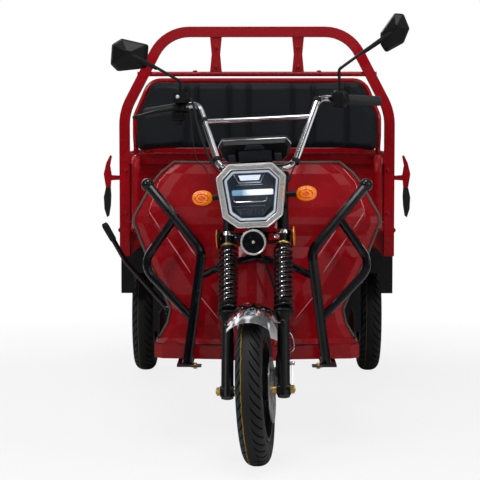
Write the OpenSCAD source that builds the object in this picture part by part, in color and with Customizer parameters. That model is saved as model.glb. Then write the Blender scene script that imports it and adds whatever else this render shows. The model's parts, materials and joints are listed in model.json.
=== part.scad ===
// Electric cargo tricycle with a steered front wheel on a sprung fork, a step-through floor behind
// a leg shield, a bench seat and a drop-side load bed over a leaf-sprung rear axle.
// Millimetres. X points to the vehicle's left, Y to its rear and Z up. The origin is on the
// ground, under the middle of the overall length.

/* [Wheels] */
// Distance between the front and rear axles
wheelbase = 2000; // [1850:10:2300]
// Distance between the middles of the rear tyres
track = 934; // [926:1:944]
// Outer diameter of the front tyre
front_tyre_d = 456; // [444:2:468]
// Width of the front tyre
front_tyre_w = 80; // [70:1:88]
// Outer diameter of the rear tyres
rear_tyre_d = 480; // [468:2:492]
// Width of the rear tyres
rear_tyre_w = 92; // [82:1:98]
// Diameter of the rims at the tyre beads
rim_d = 305; // [295:1:315]
// Diameter of the front axle
axle_d = 15; // [12:0.5:18]
// Diameter of the rear wheel spindles
spindle_d = 28; // [24:1:32]
// Diameter of the front brake disc
disc_d = 200; // [190:2:210]
// Thickness of the front brake disc
disc_t = 4; // [3:0.5:5]

/* [Fork] */
// Lean of the steering axis from the vertical
rake = 26; // [24:0.5:28]
// Distance of the front axle ahead of the steering axis
fork_offset = 32; // [26:1:38]
// Turn of the steering as the tricycle stands, with 0 straight ahead
steer_rest = -6.5; // [-15:0.5:15]
// Distance between the middles of the fork legs
fork_spread = 172; // [168:1:180]
// Height of the fork's lower yoke above the axle, along the leg
yoke_low = 488; // [470:1:500]
// Length of a fork leg from the axle to the top of its tube
fork_l = 722; // [705:1:740]
// Diameter of the fork sliders
slider_d = 38; // [34:1:42]
// Diameter of the fork tubes
fork_tube_d = 27; // [24:1:30]
// Thickness of the fork springs' wire
spring_wire = 7.2; // [5:0.2:8]
// Number of turns of a fork spring
spring_turns = 11; // [8:1:13]
// Diameter of the steering stem
stem_d = 28; // [24:1:32]
// Gap between the front tyre and its mudguard
fender_gap = 38; // [34:1:44]
// Width of the front mudguard
fender_w = 128; // [120:1:136]

/* [Handlebar] */
// Diameter of the handlebar tube
bar_d = 22; // [20:0.5:26]
// Width of the handlebar over its ends
bar_w = 778; // [720:2:820]
// Height of the grips above the bar's clamp
bar_rise = 200; // [160:1:230]
// Length of a grip
grip_l = 120; // [100:1:135]
// Diameter of a grip
grip_d = 33; // [30:1:38]

/* [Lamps] */
// Width of the headlight
lamp_w = 220; // [200:1:236]
// Height of the headlight
lamp_h = 200; // [180:1:214]
// Distance of the turn signals from the middle
signal_x = 163; // [158:1:170]
// Length of a turn signal
signal_l = 69; // [60:1:74]
// Diameter of a turn signal
signal_d = 50; // [44:1:54]
// Diameter of the horn
horn_d = 80; // [70:1:86]

/* [Leg shield and crash bar] */
// Greatest width of the leg shield
shield_w = 798; // [760:2:830]
// Height of the leg shield
shield_h = 580; // [560:1:600]
// Thickness of the leg shield's sheet
shield_t = 5; // [4:0.5:7]
// Diameter of the crash bar's main tube
crash_d = 32; // [28:1:36]
// Diameter of the crash bar's outer loops
crash_loop_d = 27; // [24:1:30]

/* [Floor and seat] */
// Height of the top of the foot floor
floor_z = 331; // [325:1:340]
// Thickness of the floor plate
floor_t = 6; // [4:0.5:8]
// Width of the seat box
seat_box_w = 600; // [540:2:640]
// Height of the seat box
seat_box_h = 309; // [290:1:320]
// Width of the bench cushion
seat_w = 810; // [760:2:820]
// Length of the bench cushion, front to back
seat_l = 365; // [340:1:380]
// Thickness of the bench cushion
seat_t = 105; // [90:1:115]
// Width of the backrest pad at its foot
back_w = 884; // [840:2:890]
// Height of the backrest pad
back_h = 256; // [230:1:262]
// Thickness of the backrest pad
back_t = 58; // [46:1:66]

/* [Load bed] */
// Length of the load bed outside
bed_l = 1480; // [1400:10:1600]
// Width of the load bed outside
bed_w = 1028; // [1016:2:1040]
// Height of the load floor
bed_z = 631; // [626:1:640]
// Distance of the bed's rear edge behind the rear axle
rear_overhang = 741; // [700:1:780]
// Height of the drop boards
board_h = 285; // [250:1:300]
// Thickness of the drop boards
board_t = 25; // [20:1:30]
// Diameter of the drop boards' hinge pins
hinge_pin_d = 10; // [8:0.5:12]
// Diameter of the tie-down holes in the load floor
tie_hole_d = 11; // [8:0.5:14]

/* [Headboard] */
// Height of the headboard hoop's middle line at the top
hoop_z = 1376; // [1330:1:1400]
// Width of the hoop's tube, seen from the front
hoop_tube = 38; // [32:1:42]
// Depth of the hoop's tube
hoop_depth = 30; // [24:1:36]

/* [Chassis] */
// Width of the chassis rails
rail_w = 50; // [44:1:56]
// Depth of the rear chassis rails
rail_h = 50; // [44:1:56]
// Diameter of the rear axle's tube
axle_tube_d = 60; // [54:1:66]
// Width of the leaf springs
leaf_w = 44; // [40:1:48]
// Thickness of one leaf
leaf_t = 7; // [6:0.5:8]
// Number of leaves in a spring
leaf_count = 5; // [3:1:6]

/* [Hidden] */
$fn = 48;
red = "#a30f1c";
black = "#1c1c1f";
steel = "#b9bcc2";
rubber = "#222224";

// Fits: radial clearance of a pin in its bore, and the gap under pieces that rest on each other
fit = 0.08;
seat_gap = 0.2;

// Ground plan, from the front axle back to the hinges of the tailgate
knuckle_r = hinge_pin_d / 2 + 4;
hinge_out = knuckle_r + 3;
front_r = front_tyre_d / 2;
rear_r = rear_tyre_d / 2;
rim_r = rim_d / 2;
overall_l = front_r + wheelbase + rear_overhang + hinge_out + knuckle_r;
front_y = front_r - overall_l / 2;
rear_y = front_y + wheelbase;
bed_rear = rear_y + rear_overhang;
bed_front = bed_rear - bed_l;

// Fork, in its own frame: x across, v backwards square to the steering axis, w up along it
head_foot = [0, front_y + fork_offset * cos(rake), front_r - fork_offset * sin(rake)];
leg_x = fork_spread / 2;
flange_t = 6;
flange_r = slider_d / 2 + 14;
funnel_h = 24;
brace_gap = 16;
brace_half = 12;
slider_top = front_r + brace_gap + flange_t;
slider_foot = 22;
lug_r = 17;
lug_l = slider_d + 4;
collar_h = 22;
collar_r = fork_tube_d / 2 + 8.5;
yoke_t = 24;
yoke_r = fork_tube_d / 2 + 10.5;
yoke_front = fork_offset + 14;
yoke_back = 22;
upper_t = 16;
upper_low = fork_l - 22;
upper_top = upper_low + upper_t;
neck_wall = 13;
neck_low = yoke_low + yoke_t + 3;
neck_top = upper_low - 10;
bar_seat_rise = 36;
bar_seat_w = upper_top + bar_seat_rise;
spring_r = flange_r - spring_wire / 2 - 2;
fender_r = front_r + fender_gap;
fender_t = 3;
cover_r = fork_tube_d / 2 + 4.5;

// Front wheel across the axle
hub_right = -45;
hub_left = 48;
hub_r = 32;
axle_over = 14;

// Leg shield
shield_foot = floor_z - 9;
shield_top = shield_foot + shield_h;
nose_w = 75;
wing_slope = 0.12;
shield_step = 16;
shield_rim_w = 26;
shield_rim_deep = 24;
trim_r = 4.5;

// Load bed heights and chassis heights
bed_half = bed_w / 2;
bed_floor_t = 6;
sill_top = bed_z - bed_floor_t;
sill_h = 60;
sill_w = 50;
sill_low = sill_top - sill_h;
board_low = bed_z + 9;
board_top = board_low + board_h;
hinge_z = sill_top + 1;
rail_top = sill_low - 75;
rail_low = rail_top - rail_h;
rail_room = 21;
rail_x = track / 2 - rear_tyre_w / 2 - rail_room - rail_w / 2;
floor_rail_x = 230;
floor_rail_low = 270;
floor_low = floor_z - floor_t;
post_y = 40;
fender_sheet = 6;
mudguard_out = bed_half + 34;

// Helpers for directions, rounded paths, pipes and lofts

function unit(v) = v / norm(v);
function limited(x, low, high) = min(max(x, low), high);
function mirrored(points) = concat(points, [for (k = [len(points) - 1:-1:0]) [-points[k].x, points[k].y]]);

// A point behind the front axle
function behind(x, back, z) = [x, front_y + back, z];

// A point given in the fork's frame, with the steering straight ahead
function fork_point(x, v, w) = head_foot + [x, v * cos(rake) + w * sin(rake), w * cos(rake) - v * sin(rake)];

// Points of the arc of radius r that rounds the corner p1 between p0 and p2
function corner_arc(p0, p1, p2, r, n) =
    let (d1 = unit(p1 - p0), d2 = unit(p2 - p1), turn = acos(limited(d1 * d2, -1, 1)))
    turn < 0.01 ? [p1] :
    let (back = r * tan(turn / 2), centre = p1 + unit(d2 - d1) * r / cos(turn / 2))
    let (a = p1 - d1 * back - centre, b = p1 + d2 * back - centre)
    [for (k = [0:n]) centre + (sin((1 - k / n) * turn) * a + sin(k / n * turn) * b) / sin(turn)];

function rounded_path(p, r, n = 5) = concat(
    [p[0]],
    [for (i = [1:len(p) - 2]) each corner_arc(p[i - 1], p[i], p[i + 1], is_list(r) ? r[i - 1] : r, n)],
    [p[len(p) - 1]]);

function rounded_loop(p, r, n = 3) =
    let (m = len(p))
    [for (i = [0:m - 1]) each corner_arc(p[(i + m - 1) % m], p[i], p[(i + 1) % m], r, n)];

// A counter-clockwise convex outline moved inwards by d
function inset(p, d) =
    let (m = len(p))
    [for (i = [0:m - 1])
        let (a = unit(p[i] - p[(i + m - 1) % m]), b = unit(p[(i + 1) % m] - p[i]))
        let (na = [-a.y, a.x], nb = [-b.y, b.x])
        p[i] + (na + nb) * d / (1 + na * nb)];

function tangent(path, i) = unit(path[min(i + 1, len(path) - 1)] - path[max(i - 1, 0)]);
function first_normal(t) = unit(cross(t, abs(t.z) < 0.8 ? [0, 0, 1] : [1, 0, 0]));
function normals(path, found = []) =
    let (i = len(found))
    i == len(path) ? found :
    let (t = tangent(path, i), last = i == 0 ? first_normal(t) : found[i - 1])
    normals(path, concat(found, [unit(last - t * (last * t))]));

// Both sides of a centre-line, as the outline of a strip of width w
function strip(path, w) =
    let (side = [for (i = [0:len(path) - 1]) let (t = tangent(path, i)) [-t.y, t.x] * w / 2])
    concat([for (i = [0:len(path) - 1]) path[i] + side[i]],
           [for (i = [len(path) - 1:-1:0]) path[i] - side[i]]);

// Skin over rings of equal count, each turning right-handed about the way from ring to ring
module loft(rings, closed = false) {
    n = len(rings[0]);
    m = len(rings);
    spans = closed ? m : m - 1;
    walls = [for (i = [0:spans - 1], k = [0:n - 1])
        let (a = i * n, b = (i + 1) % m * n, l = (k + 1) % n)
        each [[a + k, b + k, b + l], [a + k, b + l, a + l]]];
    caps = closed ? [] : [[for (k = [0:n - 1]) k], [for (k = [n - 1:-1:0]) (m - 1) * n + k]];
    polyhedron([for (r = rings) each r], concat(walls, caps));
}

module pipe(path, r, sides = 12) {
    n = normals(path);
    loft([for (i = [0:len(path) - 1])
        let (b = cross(tangent(path, i), n[i]))
        [for (k = [0:sides - 1]) path[i] + r * (cos(360 * k / sides) * n[i] + sin(360 * k / sides) * b)]]);
}

// Sheet between a front and a back grid of points, rows upwards and columns to +X
module sheet(front, back) {
    m = len(front);
    n = len(front[0]);
    half = m * n;
    skin = [for (i = [0:m - 2], j = [0:n - 2])
        let (a = i * n + j, b = a + n)
        each [[a, b, b + 1], [a, b + 1, a + 1],
              [half + a, half + b + 1, half + b], [half + a, half + a + 1, half + b + 1]]];
    foot_head = [for (j = [0:n - 2])
        let (t = (m - 1) * n + j)
        each [[j, j + 1, half + j + 1, half + j], [t + 1, t, half + t, half + t + 1]]];
    flanks = [for (i = [0:m - 2])
        let (a = i * n, b = a + n, c = a + n - 1, d = c + n)
        each [[b, a, half + a, half + b], [c, d, half + d, half + c]]];
    polyhedron(concat([for (r = front) each r], [for (r = back) each r]), concat(skin, foot_head, flanks));
}

// Places what is drawn along z from p towards q
module between(p, q) {
    d = q - p;
    translate(p)
        rotate([0, acos(d.z / norm(d)), atan2(d.y, d.x)])
            children();
}

// Extrusions of an outline: (y, z) along X about the middle plane, and (x, z) along Y from y0
module along_x(l) {
    rotate([90, 0, 90])
        linear_extrude(l, center = true)
            children();
}

module along_y(y0, l) {
    translate([0, y0 + l, 0])
        rotate([90, 0, 0])
            linear_extrude(l)
                children();
}

module block(low, high) {
    translate(low)
        cube(high - low);
}

// A rod along X at (y, z), from x0 to x1
module rod_x(x0, x1, y, z, d) {
    translate([x0, y, z])
        rotate([0, 90, 0])
            cylinder(d = d, h = x1 - x0);
}

module both_sides() {
    for (side = [0, 1])
        mirror([side, 0, 0])
            children();
}

// Frame of the turned fork
module in_fork() {
    translate(head_foot)
        rotate([-rake, 0, 0])
            rotate([0, 0, steer_rest])
                children();
}

// Turns what is drawn in the vehicle's frame, steering straight, to the steering's rest position
module turned() {
    in_fork()
        rotate([rake, 0, 0])
            translate(-head_foot)
                children();
}

module in_legs() {
    for (side = [-1, 1])
        translate([side * leg_x, -fork_offset, 0])
            children();
}

// Wheels

// Section of a tyre as (radius, place across), a fat oval cut off at the bead
function tyre_section(r, w, n = 14) =
    let (squash = 0.8, bead = 50, deep = pow(sin(bead), squash))
    let (mid = (rim_r + deep * r) / (1 + deep), high = r - mid)
    [for (k = [0:n])
        let (a = -bead + k * (180 + 2 * bead) / n, s = sin(a), c = cos(a))
        [mid + high * sign(s) * pow(abs(s), squash), w / 2 * sign(c) * pow(abs(c), squash)]];

// Section of a rim: a dropped well between bead seats and flanges
function rim_half(w) =
    let (lip = 0.39 * w + 0.8)
    [[rim_r - 24, 12], [rim_r - 12, 16], [rim_r - 8, lip + 4.5], [rim_r + 3, lip + 4.5],
     [rim_r + 3, lip], [rim_r - seat_gap, lip], [rim_r - seat_gap, 14], [rim_r - 16, 10]];

function rim_section(w) =
    let (half = rim_half(w), last = len(half) - 1)
    concat(half, [for (k = [last:-1:0]) [half[k].x, -half[k].y]]);

// Revolves a (radius, place across) section about the X axis
module revolved_x(section) {
    rotate([0, 90, 0])
        rotate_extrude($fn = 96)
            polygon(section);
}

module at_front_axle() {
    in_fork()
        translate([0, -fork_offset, 0])
            children();
}

module front_tyre() {
    color(rubber)
        at_front_axle()
            revolved_x(tyre_section(front_r, front_tyre_w));
}

module front_rim() {
    spokes = 5;
    web_t = 22;
    window_low = hub_r + 11;
    window_top = rim_r - 32;
    window_foot = 8;
    window_half = 30;
    window = concat([[-window_foot, window_low], [window_foot, window_low]],
                    [for (a = [window_half:-10:-window_half]) window_top * [sin(a), cos(a)]]);
    color(black)
        at_front_axle()
            difference() {
                union() {
                    revolved_x(rim_section(front_tyre_w));
                    rod_x(hub_right, hub_left, 0, 0, 2 * hub_r);
                    rod_x(-web_t / 2, web_t / 2, 0, 0, 2 * rim_r - 40);
                }
                rod_x(hub_right - 1, hub_left + 1, 0, 0, axle_d + 2 * fit);
                for (k = [0:spokes - 1])
                    rotate([k * 360 / spokes, 0, 0])
                        along_x(web_t + 2)
                            polygon(window);
            }
}

module brake_disc() {
    windows = 6;
    color(steel)
        at_front_axle()
            difference() {
                rod_x(hub_left, hub_left + disc_t, 0, 0, disc_d);
                rod_x(hub_left - 1, hub_left + disc_t + 1, 0, 0, 28);
                for (k = [0:windows - 1])
                    rotate([k * 360 / windows, 0, 0])
                        rod_x(hub_left - 1, hub_left + disc_t + 1, 48, 0, 30);
            }
}

module front_axle() {
    lug_out = leg_x + lug_l / 2;
    lug_in = leg_x - lug_l / 2;
    color("#b08d3c")
        at_front_axle() {
            union() {
                rod_x(-lug_out - axle_over, lug_out + axle_over, 0, 0, axle_d);
                rod_x(-lug_in, hub_right - seat_gap, 0, 0, axle_d + 9);
                rod_x(hub_left + seat_gap, lug_in, 0, 0, axle_d + 9);
                for (x = [-lug_out - 11, lug_out])
                    translate([x, 0, 0])
                        rotate([0, 90, 0])
                            cylinder(d = axle_d + 12, h = 11, $fn = 6);
            }
        }
}

// Rear wheel about its own middle plane, outwards along +x
module rear_rim() {
    holes = 8;
    hub_in = -54;
    hub_out = 30;
    drum_r = 75;
    color(black)
        difference() {
            union() {
                revolved_x(rim_section(rear_tyre_w));
                rod_x(hub_in, hub_out, 0, 0, 68);
                rod_x(8, 14, 0, 0, 2 * rim_r - 40);
                rod_x(hub_in, -28, 0, 0, 2 * drum_r);
            }
            rod_x(hub_in - 1, hub_out + 1, 0, 0, spindle_d + 2 * fit);
            for (k = [0:holes - 1])
                rotate([k * 360 / holes, 0, 0])
                    rod_x(7, 15, 86, 0, 34);
        }
}

module at_rear_wheel(side) {
    translate([side * track / 2, rear_y, rear_r])
        mirror([side < 0 ? 1 : 0, 0, 0])
            children();
}

module rear_left_rim() {
    at_rear_wheel(1)
        rear_rim();
}

module rear_right_rim() {
    at_rear_wheel(-1)
        rear_rim();
}

module rear_left_tyre() {
    color(rubber)
        at_rear_wheel(1)
            revolved_x(tyre_section(rear_r, rear_tyre_w));
}

module rear_right_tyre() {
    color(rubber)
        at_rear_wheel(-1)
            revolved_x(tyre_section(rear_r, rear_tyre_w));
}

// Fork and steering

caliper_v = 6;
caliper_w = 60;
caliper_lug_v = 10 - fork_offset;

module fork_sliders() {
    color(black)
        in_fork()
            difference() {
                union() {
                    in_legs() {
                        translate([0, 0, -slider_foot])
                            cylinder(d = slider_d, h = slider_top + slider_foot);
                        translate([0, 0, slider_top - flange_t])
                            cylinder(r = flange_r, h = flange_t);
                        translate([0, 0, slider_top - flange_t - funnel_h])
                            cylinder(r1 = slider_d / 2, r2 = flange_r - flange_t, h = funnel_h + 1);
                        rotate([0, 90, 0])
                            cylinder(r = lug_r, h = lug_l, center = true);
                    }
                    block([-leg_x, -fork_offset - brace_half, slider_top - flange_t],
                          [leg_x, -fork_offset + brace_half, slider_top]);
                    translate([0, -fork_offset, slider_top - 1])
                        cylinder(r = 7, h = fender_r - fender_t - slider_top + 1 - 2.5 * seat_gap);
                    block([leg_x - 26, -fork_offset, caliper_w - 12],
                          [leg_x - 2, caliper_lug_v + 12, caliper_w + 12]);
                }
                translate([0, -fork_offset, 0])
                    rod_x(-leg_x - lug_l, leg_x + lug_l, 0, 0, axle_d + 2 * fit);
            }
}

module fork_tubes() {
    color(steel)
        in_fork()
            in_legs()
                translate([0, 0, slider_top])
                    cylinder(d = fork_tube_d, h = fork_l - slider_top);
}

module fork_springs() {
    per_turn = 10;
    low = slider_top + spring_wire / 2 + seat_gap;
    high = yoke_low - collar_h - spring_wire / 2 - seat_gap;
    steps = spring_turns * per_turn;
    color(black)
        in_fork()
            in_legs()
                pipe([for (k = [0:steps])
                    let (a = k * 360 / per_turn)
                    [spring_r * cos(a), spring_r * sin(a), low + (high - low) * k / steps]],
                    spring_wire / 2, 6);
}

module yoke_outline(r) {
    for (side = [-1, 1])
        translate([side * leg_x, -fork_offset])
            circle(r);
    translate([-leg_x, -yoke_front])
        square([2 * leg_x, yoke_front - fork_offset + 30]);
    circle(stem_d / 2 + 18);
}

// Round reflectors beside the lower yoke, each on a stub
module side_reflectors() {
    stub_d = 14;
    stub_l = 4;
    disc_r = 30;
    reflector_t = 8;
    root = leg_x + yoke_r + seat_gap;
    mid = yoke_low + yoke_t / 2;
    color("#f08a10")
        in_fork()
            both_sides()
                translate([0, -fork_offset, mid])
                    union() {
                        rod_x(root, root + stub_l + 1, 0, 0, stub_d);
                        rod_x(root + stub_l, root + stub_l + reflector_t, 0, 0, 2 * disc_r);
                    }
}

module fork_clamps() {
    bar_block_x = 41;
    color(black)
        in_fork()
            difference() {
                union() {
                    translate([0, 0, yoke_low])
                        linear_extrude(yoke_t)
                            yoke_outline(yoke_r);
                    translate([0, 0, upper_low])
                        linear_extrude(upper_t)
                            yoke_outline(yoke_r - 3);
                    in_legs()
                        translate([0, 0, yoke_low - collar_h])
                            cylinder(r = collar_r, h = collar_h + 1);
                    translate([0, 0, yoke_low + 1])
                        cylinder(d = stem_d, h = upper_top - yoke_low - 2);
                    for (side = [-1, 1])
                        translate([side * bar_block_x - 11, -bar_d / 2 - 6, upper_top - 1])
                            cube([22, bar_d + 12, bar_seat_rise + bar_d / 2 + 6]);
                }
                in_legs()
                    translate([0, 0, yoke_low - collar_h - 1])
                        cylinder(d = fork_tube_d + 2 * fit, h = fork_l);
                translate([0, 0, bar_seat_w])
                    rod_x(-leg_x, leg_x, 0, 0, bar_d + 2 * fit);
            }
}

module front_fender() {
    ahead = 33;
    behind_top = 60;
    edge_drop = 31;
    half = fender_w / 2;
    crown = [for (k = [-6:6]) [fender_r - edge_drop * pow(abs(k / 6), 2.4), half * k / 6]];
    under = [for (k = [6:-1:-6]) [crown[k + 6].x - fender_t, crown[k + 6].y]];
    color(steel)
        difference() {
            turned()
                translate([0, front_y, front_r])
                    rotate([0, 90, 0])
                        rotate([0, 0, 180 - behind_top])
                            rotate_extrude(angle = ahead + behind_top, $fn = 96)
                                polygon(concat(crown, under));
            in_fork() {
                in_legs()
                    translate([0, 0, slider_top - 40])
                        cylinder(r = flange_r + 4, h = 80);
                block([-leg_x, -fork_offset - brace_half - 2, slider_top - flange_t - 2],
                      [leg_x, -fork_offset + brace_half + 2, slider_top + 2]);
            }
        }
}

module brake_caliper() {
    middle = hub_left + disc_t / 2;
    slot = disc_t / 2 + 1.5;
    color("#8b8d92")
        in_fork()
            difference() {
                union() {
                    block([middle - 15, caliper_v + 4, caliper_w - 26],
                          [leg_x - 16, disc_d / 2 - fork_offset + 6, caliper_w + 26]);
                    block([leg_x - 26, caliper_lug_v + 12 + seat_gap, caliper_w - 12],
                          [leg_x - 16, caliper_v + 20, caliper_w + 12]);
                }
                translate([0, -fork_offset, 0])
                    rod_x(middle - slot, middle + slot, 0, 0, disc_d + 6);
            }
}

// Steering head on the chassis
neck_foot_back = 440;

module frame_neck() {
    tube_r = 24;
    root = fork_point(0, 0, (neck_low + neck_top) / 2 - 28);
    knee = behind(0, 395, 690);
    shin = behind(0, neck_foot_back, floor_z + 90);
    foot = behind(0, neck_foot_back, floor_low + seat_gap);
    color(black)
        difference() {
            union() {
                translate(head_foot)
                    rotate([-rake, 0, 0])
                        translate([0, 0, neck_low])
                            cylinder(d = stem_d + 2 * neck_wall, h = neck_top - neck_low);
                pipe(rounded_path([root, knee, shin, foot], [60, 60]), tube_r, 16);
            }
            translate(head_foot)
                rotate([-rake, 0, 0])
                    translate([0, 0, neck_low - 60])
                        cylinder(d = stem_d + 2 * fit, h = neck_top - neck_low + 120);
        }
}

// Handlebar and what it carries

bar_seat = fork_point(0, 0, bar_seat_w);
bar_knee = bar_seat + [118, 0, 0];
bar_bend = bar_seat + [198, 151, 218];
bar_end = bar_seat + [bar_w / 2, 260, bar_rise];
bar_way = unit(bar_end - bar_bend);

function flipped(p) = [-p.x, p.y, p.z];
function on_bar(from_end) = bar_end - bar_way * from_end;

module handlebar() {
    half = [bar_knee, bar_bend, on_bar(0.5)];
    path = concat([for (k = [2:-1:0]) flipped(half[k])], half);
    brace_z = bar_seat.z + 158;
    brace_share = (brace_z - bar_knee.z) / (bar_bend.z - bar_knee.z);
    brace = bar_knee + (bar_bend - bar_knee) * brace_share;
    color(steel)
        turned() {
            pipe(rounded_path(path, 45), bar_d / 2, 12);
            rod_x(-brace.x, brace.x, brace.y, brace.z, 17);
        }
}

module grips() {
    color(rubber)
        turned()
            both_sides()
                between(on_bar(grip_l), bar_end)
                    difference() {
                        cylinder(d = grip_d, h = grip_l + 6);
                        translate([0, 0, -1])
                            cylinder(d = bar_d + 2 * fit, h = grip_l + 1);
                    }
}

// Hand controls: on the right a brake reservoir with its lever, on the left the switch pod
control_l = 46;
control_gap = 4;
left_in = on_bar(grip_l + control_gap + control_l);
left_out = on_bar(grip_l + control_gap);
right_in = flipped(left_in);
right_out = flipped(left_out);
reservoir = [46, 42, 34];
reservoir_low = right_out + [-2, -48, 16];
mirror_boss_h = 28;
left_boss = (left_in * 0.35 + left_out * 0.65);
right_root = reservoir_low + [reservoir.x / 2, reservoir.y / 2, reservoir.z + seat_gap];
left_root = left_boss + [0, 0, mirror_boss_h + seat_gap];

module controls() {
    pivot = right_out + [14, -32, 0];
    tip = flipped(bar_end) + [-30, -62, -14];
    color(black)
        turned() {
            difference() {
                union() {
                    between(right_in, right_out) {
                        cylinder(d = bar_d + 13, h = control_l);
                        translate([-18, -45, 10])
                            cube([36, 40, 26]);
                    }
                    translate(reservoir_low)
                        cube(reservoir);
                    pipe([pivot, pivot + [-70, -6, -8], tip], 6, 8);
                    translate(tip)
                        sphere(8);
                }
                between(flipped(on_bar(400)), flipped(bar_end))
                    cylinder(d = bar_d + 2 * fit, h = 400);
            }
            difference() {
                union() {
                    between(left_in, left_out)
                        cylinder(d = bar_d + 20, h = control_l);
                    translate(left_in + [4, -30, -26])
                        cube([34, 26, 44]);
                    translate(left_boss)
                        cylinder(r = 10, h = mirror_boss_h);
                }
                between(on_bar(400), bar_end)
                    cylinder(d = bar_d + 2 * fit, h = 400);
            }
        }
}

// Mirrors, from the handlebar's seat: outline of the shell as (x, z), its crest and its stem's points
mirror_t = 46;
RIGHT_MIRROR = [[-492, 366], [-470, 342], [-372, 347], [-361, 425], [-450, 450], [-484, 432]];
RIGHT_STEM = [[-267, 171, 298], [-367, 171, 366], [-405, 171, 386]];
RIGHT_CREST = [-425, 400];
LEFT_MIRROR = [[408, 382], [424, 355], [484, 384], [505, 430], [488, 478], [458, 482], [409, 420]];
LEFT_STEM = [[282, 181, 309], [370, 171, 374], [440, 171, 414]];
LEFT_CREST = [462, 435];
mirror_back = 189;

function mirror_ring(outline, crest, share, y) =
    [for (p = rounded_loop(outline, 10)) let (q = crest + (p - crest) * share) bar_seat + [q.x, y, q.y]];

module mirror_shell(outline, crest, root, stem) {
    front = mirror_back - mirror_t;
    route = concat([root, [root.x, root.y, bar_seat.z + stem[0].z]],
                   [for (k = [1:len(stem) - 1]) bar_seat + stem[k]]);
    union() {
        loft([mirror_ring(outline, crest, 1, mirror_back),
              mirror_ring(outline, crest, 1, mirror_back - 10),
              mirror_ring(outline, crest, 0.86, mirror_back - 24),
              mirror_ring(outline, crest, 0.16, front)]);
        pipe(rounded_path(route, [14, 30]), 5, 8);
    }
}

module mirrors() {
    color(black)
        turned() {
            mirror_shell(RIGHT_MIRROR, RIGHT_CREST, right_root, RIGHT_STEM);
            mirror_shell(LEFT_MIRROR, LEFT_CREST, left_root, LEFT_STEM);
        }
}

module mirror_glass() {
    glass_t = 2.5;
    border = 6;
    color("#c8d0d8")
        turned()
            for (m = [RIGHT_MIRROR, LEFT_MIRROR])
                along_y(bar_seat.y + mirror_back + seat_gap, glass_t)
                    translate([0, bar_seat.z])
                        polygon(rounded_loop(inset(m, border), 8));
}

module instrument() {
    place = fork_point(0, -52, fork_l + 72);
    tilt = 25;
    deep = 36;
    foot = fork_point(0, -fork_offset + 4, upper_top + 2 * seat_gap);
    outline = mirrored([[88, -42], [108, -24], [117, 18], [104, 38]]);
    color(black)
        turned() {
            translate(place)
                rotate([tilt, 0, 0])
                    difference() {
                        loft([[for (p = rounded_loop(outline, 8)) [p.x, deep / 2, p.y]],
                              [for (p = rounded_loop(outline, 8)) [p.x, 0, p.y]],
                              [for (p = rounded_loop(inset(outline, 9), 5)) [p.x, -deep / 2, p.y]]]);
                        block([-62, -deep / 2 - 1, -60], [62, -deep / 2 + 9, 8]);
                    }
            along_x(70)
                polygon(strip([[foot.y, foot.z], [place.y + 16, place.z - 26]], 4));
        }
}

// Headlight: outline about its middle as (x, z), and rings of it at a place from front to back
LAMP = mirrored([[0.432, -1], [0.855, -0.65], [1, 0.58], [0.618, 1]]);
lamp_v = -108;
lamp_up = (yoke_low + yoke_t + upper_low) / 2 + 6;
lamp_place = fork_point(0, lamp_v, lamp_up);
lamp_face = lamp_place.y - 45;
bezel_t = 22;
bezel_w = 22;
lens_t = 3;
lens_back = 10;
lamp_corner = 15;

function lamp_outline(d) =
    let (outline = [for (p = LAMP) [p.x * lamp_w / 2, p.y * lamp_h / 2]])
    rounded_loop(inset(outline, d), max(lamp_corner - d / 2, 4));
function lamp_ring(d, y, share = 1) =
    [for (p = lamp_outline(d)) [p.x * share, lamp_face + y, lamp_place.z + p.y * share]];

module headlight_bezel() {
    section = [[bezel_w, bezel_t], [bezel_w, 8], [bezel_w - 4, 0], [6, 0], [0, 8], [0, bezel_t]];
    count = len(lamp_outline(0));
    color("#b5ada0")
        turned()
            loft([for (k = [0:count - 1]) [for (s = section) lamp_ring(s.x, s.y)[k]]], closed = true);
}

module headlight_lens() {
    color("#d8e4f0")
        turned()
            along_y(lamp_face + lens_back, lens_t)
                translate([0, lamp_place.z])
                    polygon(lamp_outline(bezel_w + seat_gap));
}

signal_place = fork_point(0, -71, lamp_up + 14);
signal_root = signal_x - signal_l / 2 + 4;

module headlight_shell() {
    stem_r = 9;
    ear = 50;
    color(black)
        union() {
            turned() {
                difference() {
                    loft([lamp_ring(6, 82, 0.35), lamp_ring(6, 76, 0.6), lamp_ring(6, 62, 0.9),
                          lamp_ring(2, bezel_t)]);
                    loft([lamp_ring(bezel_w, 58, 0.86), lamp_ring(bezel_w + 2, bezel_t - 1)]);
                }
                both_sides()
                    rod_x(leg_x + 8, signal_root - seat_gap, signal_place.y, signal_place.z, 2 * stem_r);
            }
            in_fork() {
                both_sides()
                    block([leg_x + 2, lamp_v - 6, lamp_up - ear / 2],
                          [leg_x + 14, -fork_offset - fork_tube_d / 2 - 1, lamp_up + ear / 2]);
                in_legs()
                    difference() {
                        translate([0, 0, yoke_low + yoke_t + seat_gap])
                            cylinder(r = cover_r, h = upper_low - yoke_low - yoke_t - 2 * seat_gap);
                        cylinder(d = fork_tube_d + 2 * fit, h = fork_l);
                    }
            }
        }
}

module turn_signals() {
    steps = 10;
    start = asin(1 - 4 / (signal_l / 2));
    section = [for (k = [0:steps])
        let (a = -start + k * (90 + start) / steps)
        [max(signal_d / 2 * cos(a), 0), signal_l / 2 * sin(a)]];
    color("#f08a10")
        turned()
            both_sides()
                translate([signal_x, signal_place.y, signal_place.z])
                    revolved_x(concat([[0, section[0].y]], section));
}

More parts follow.
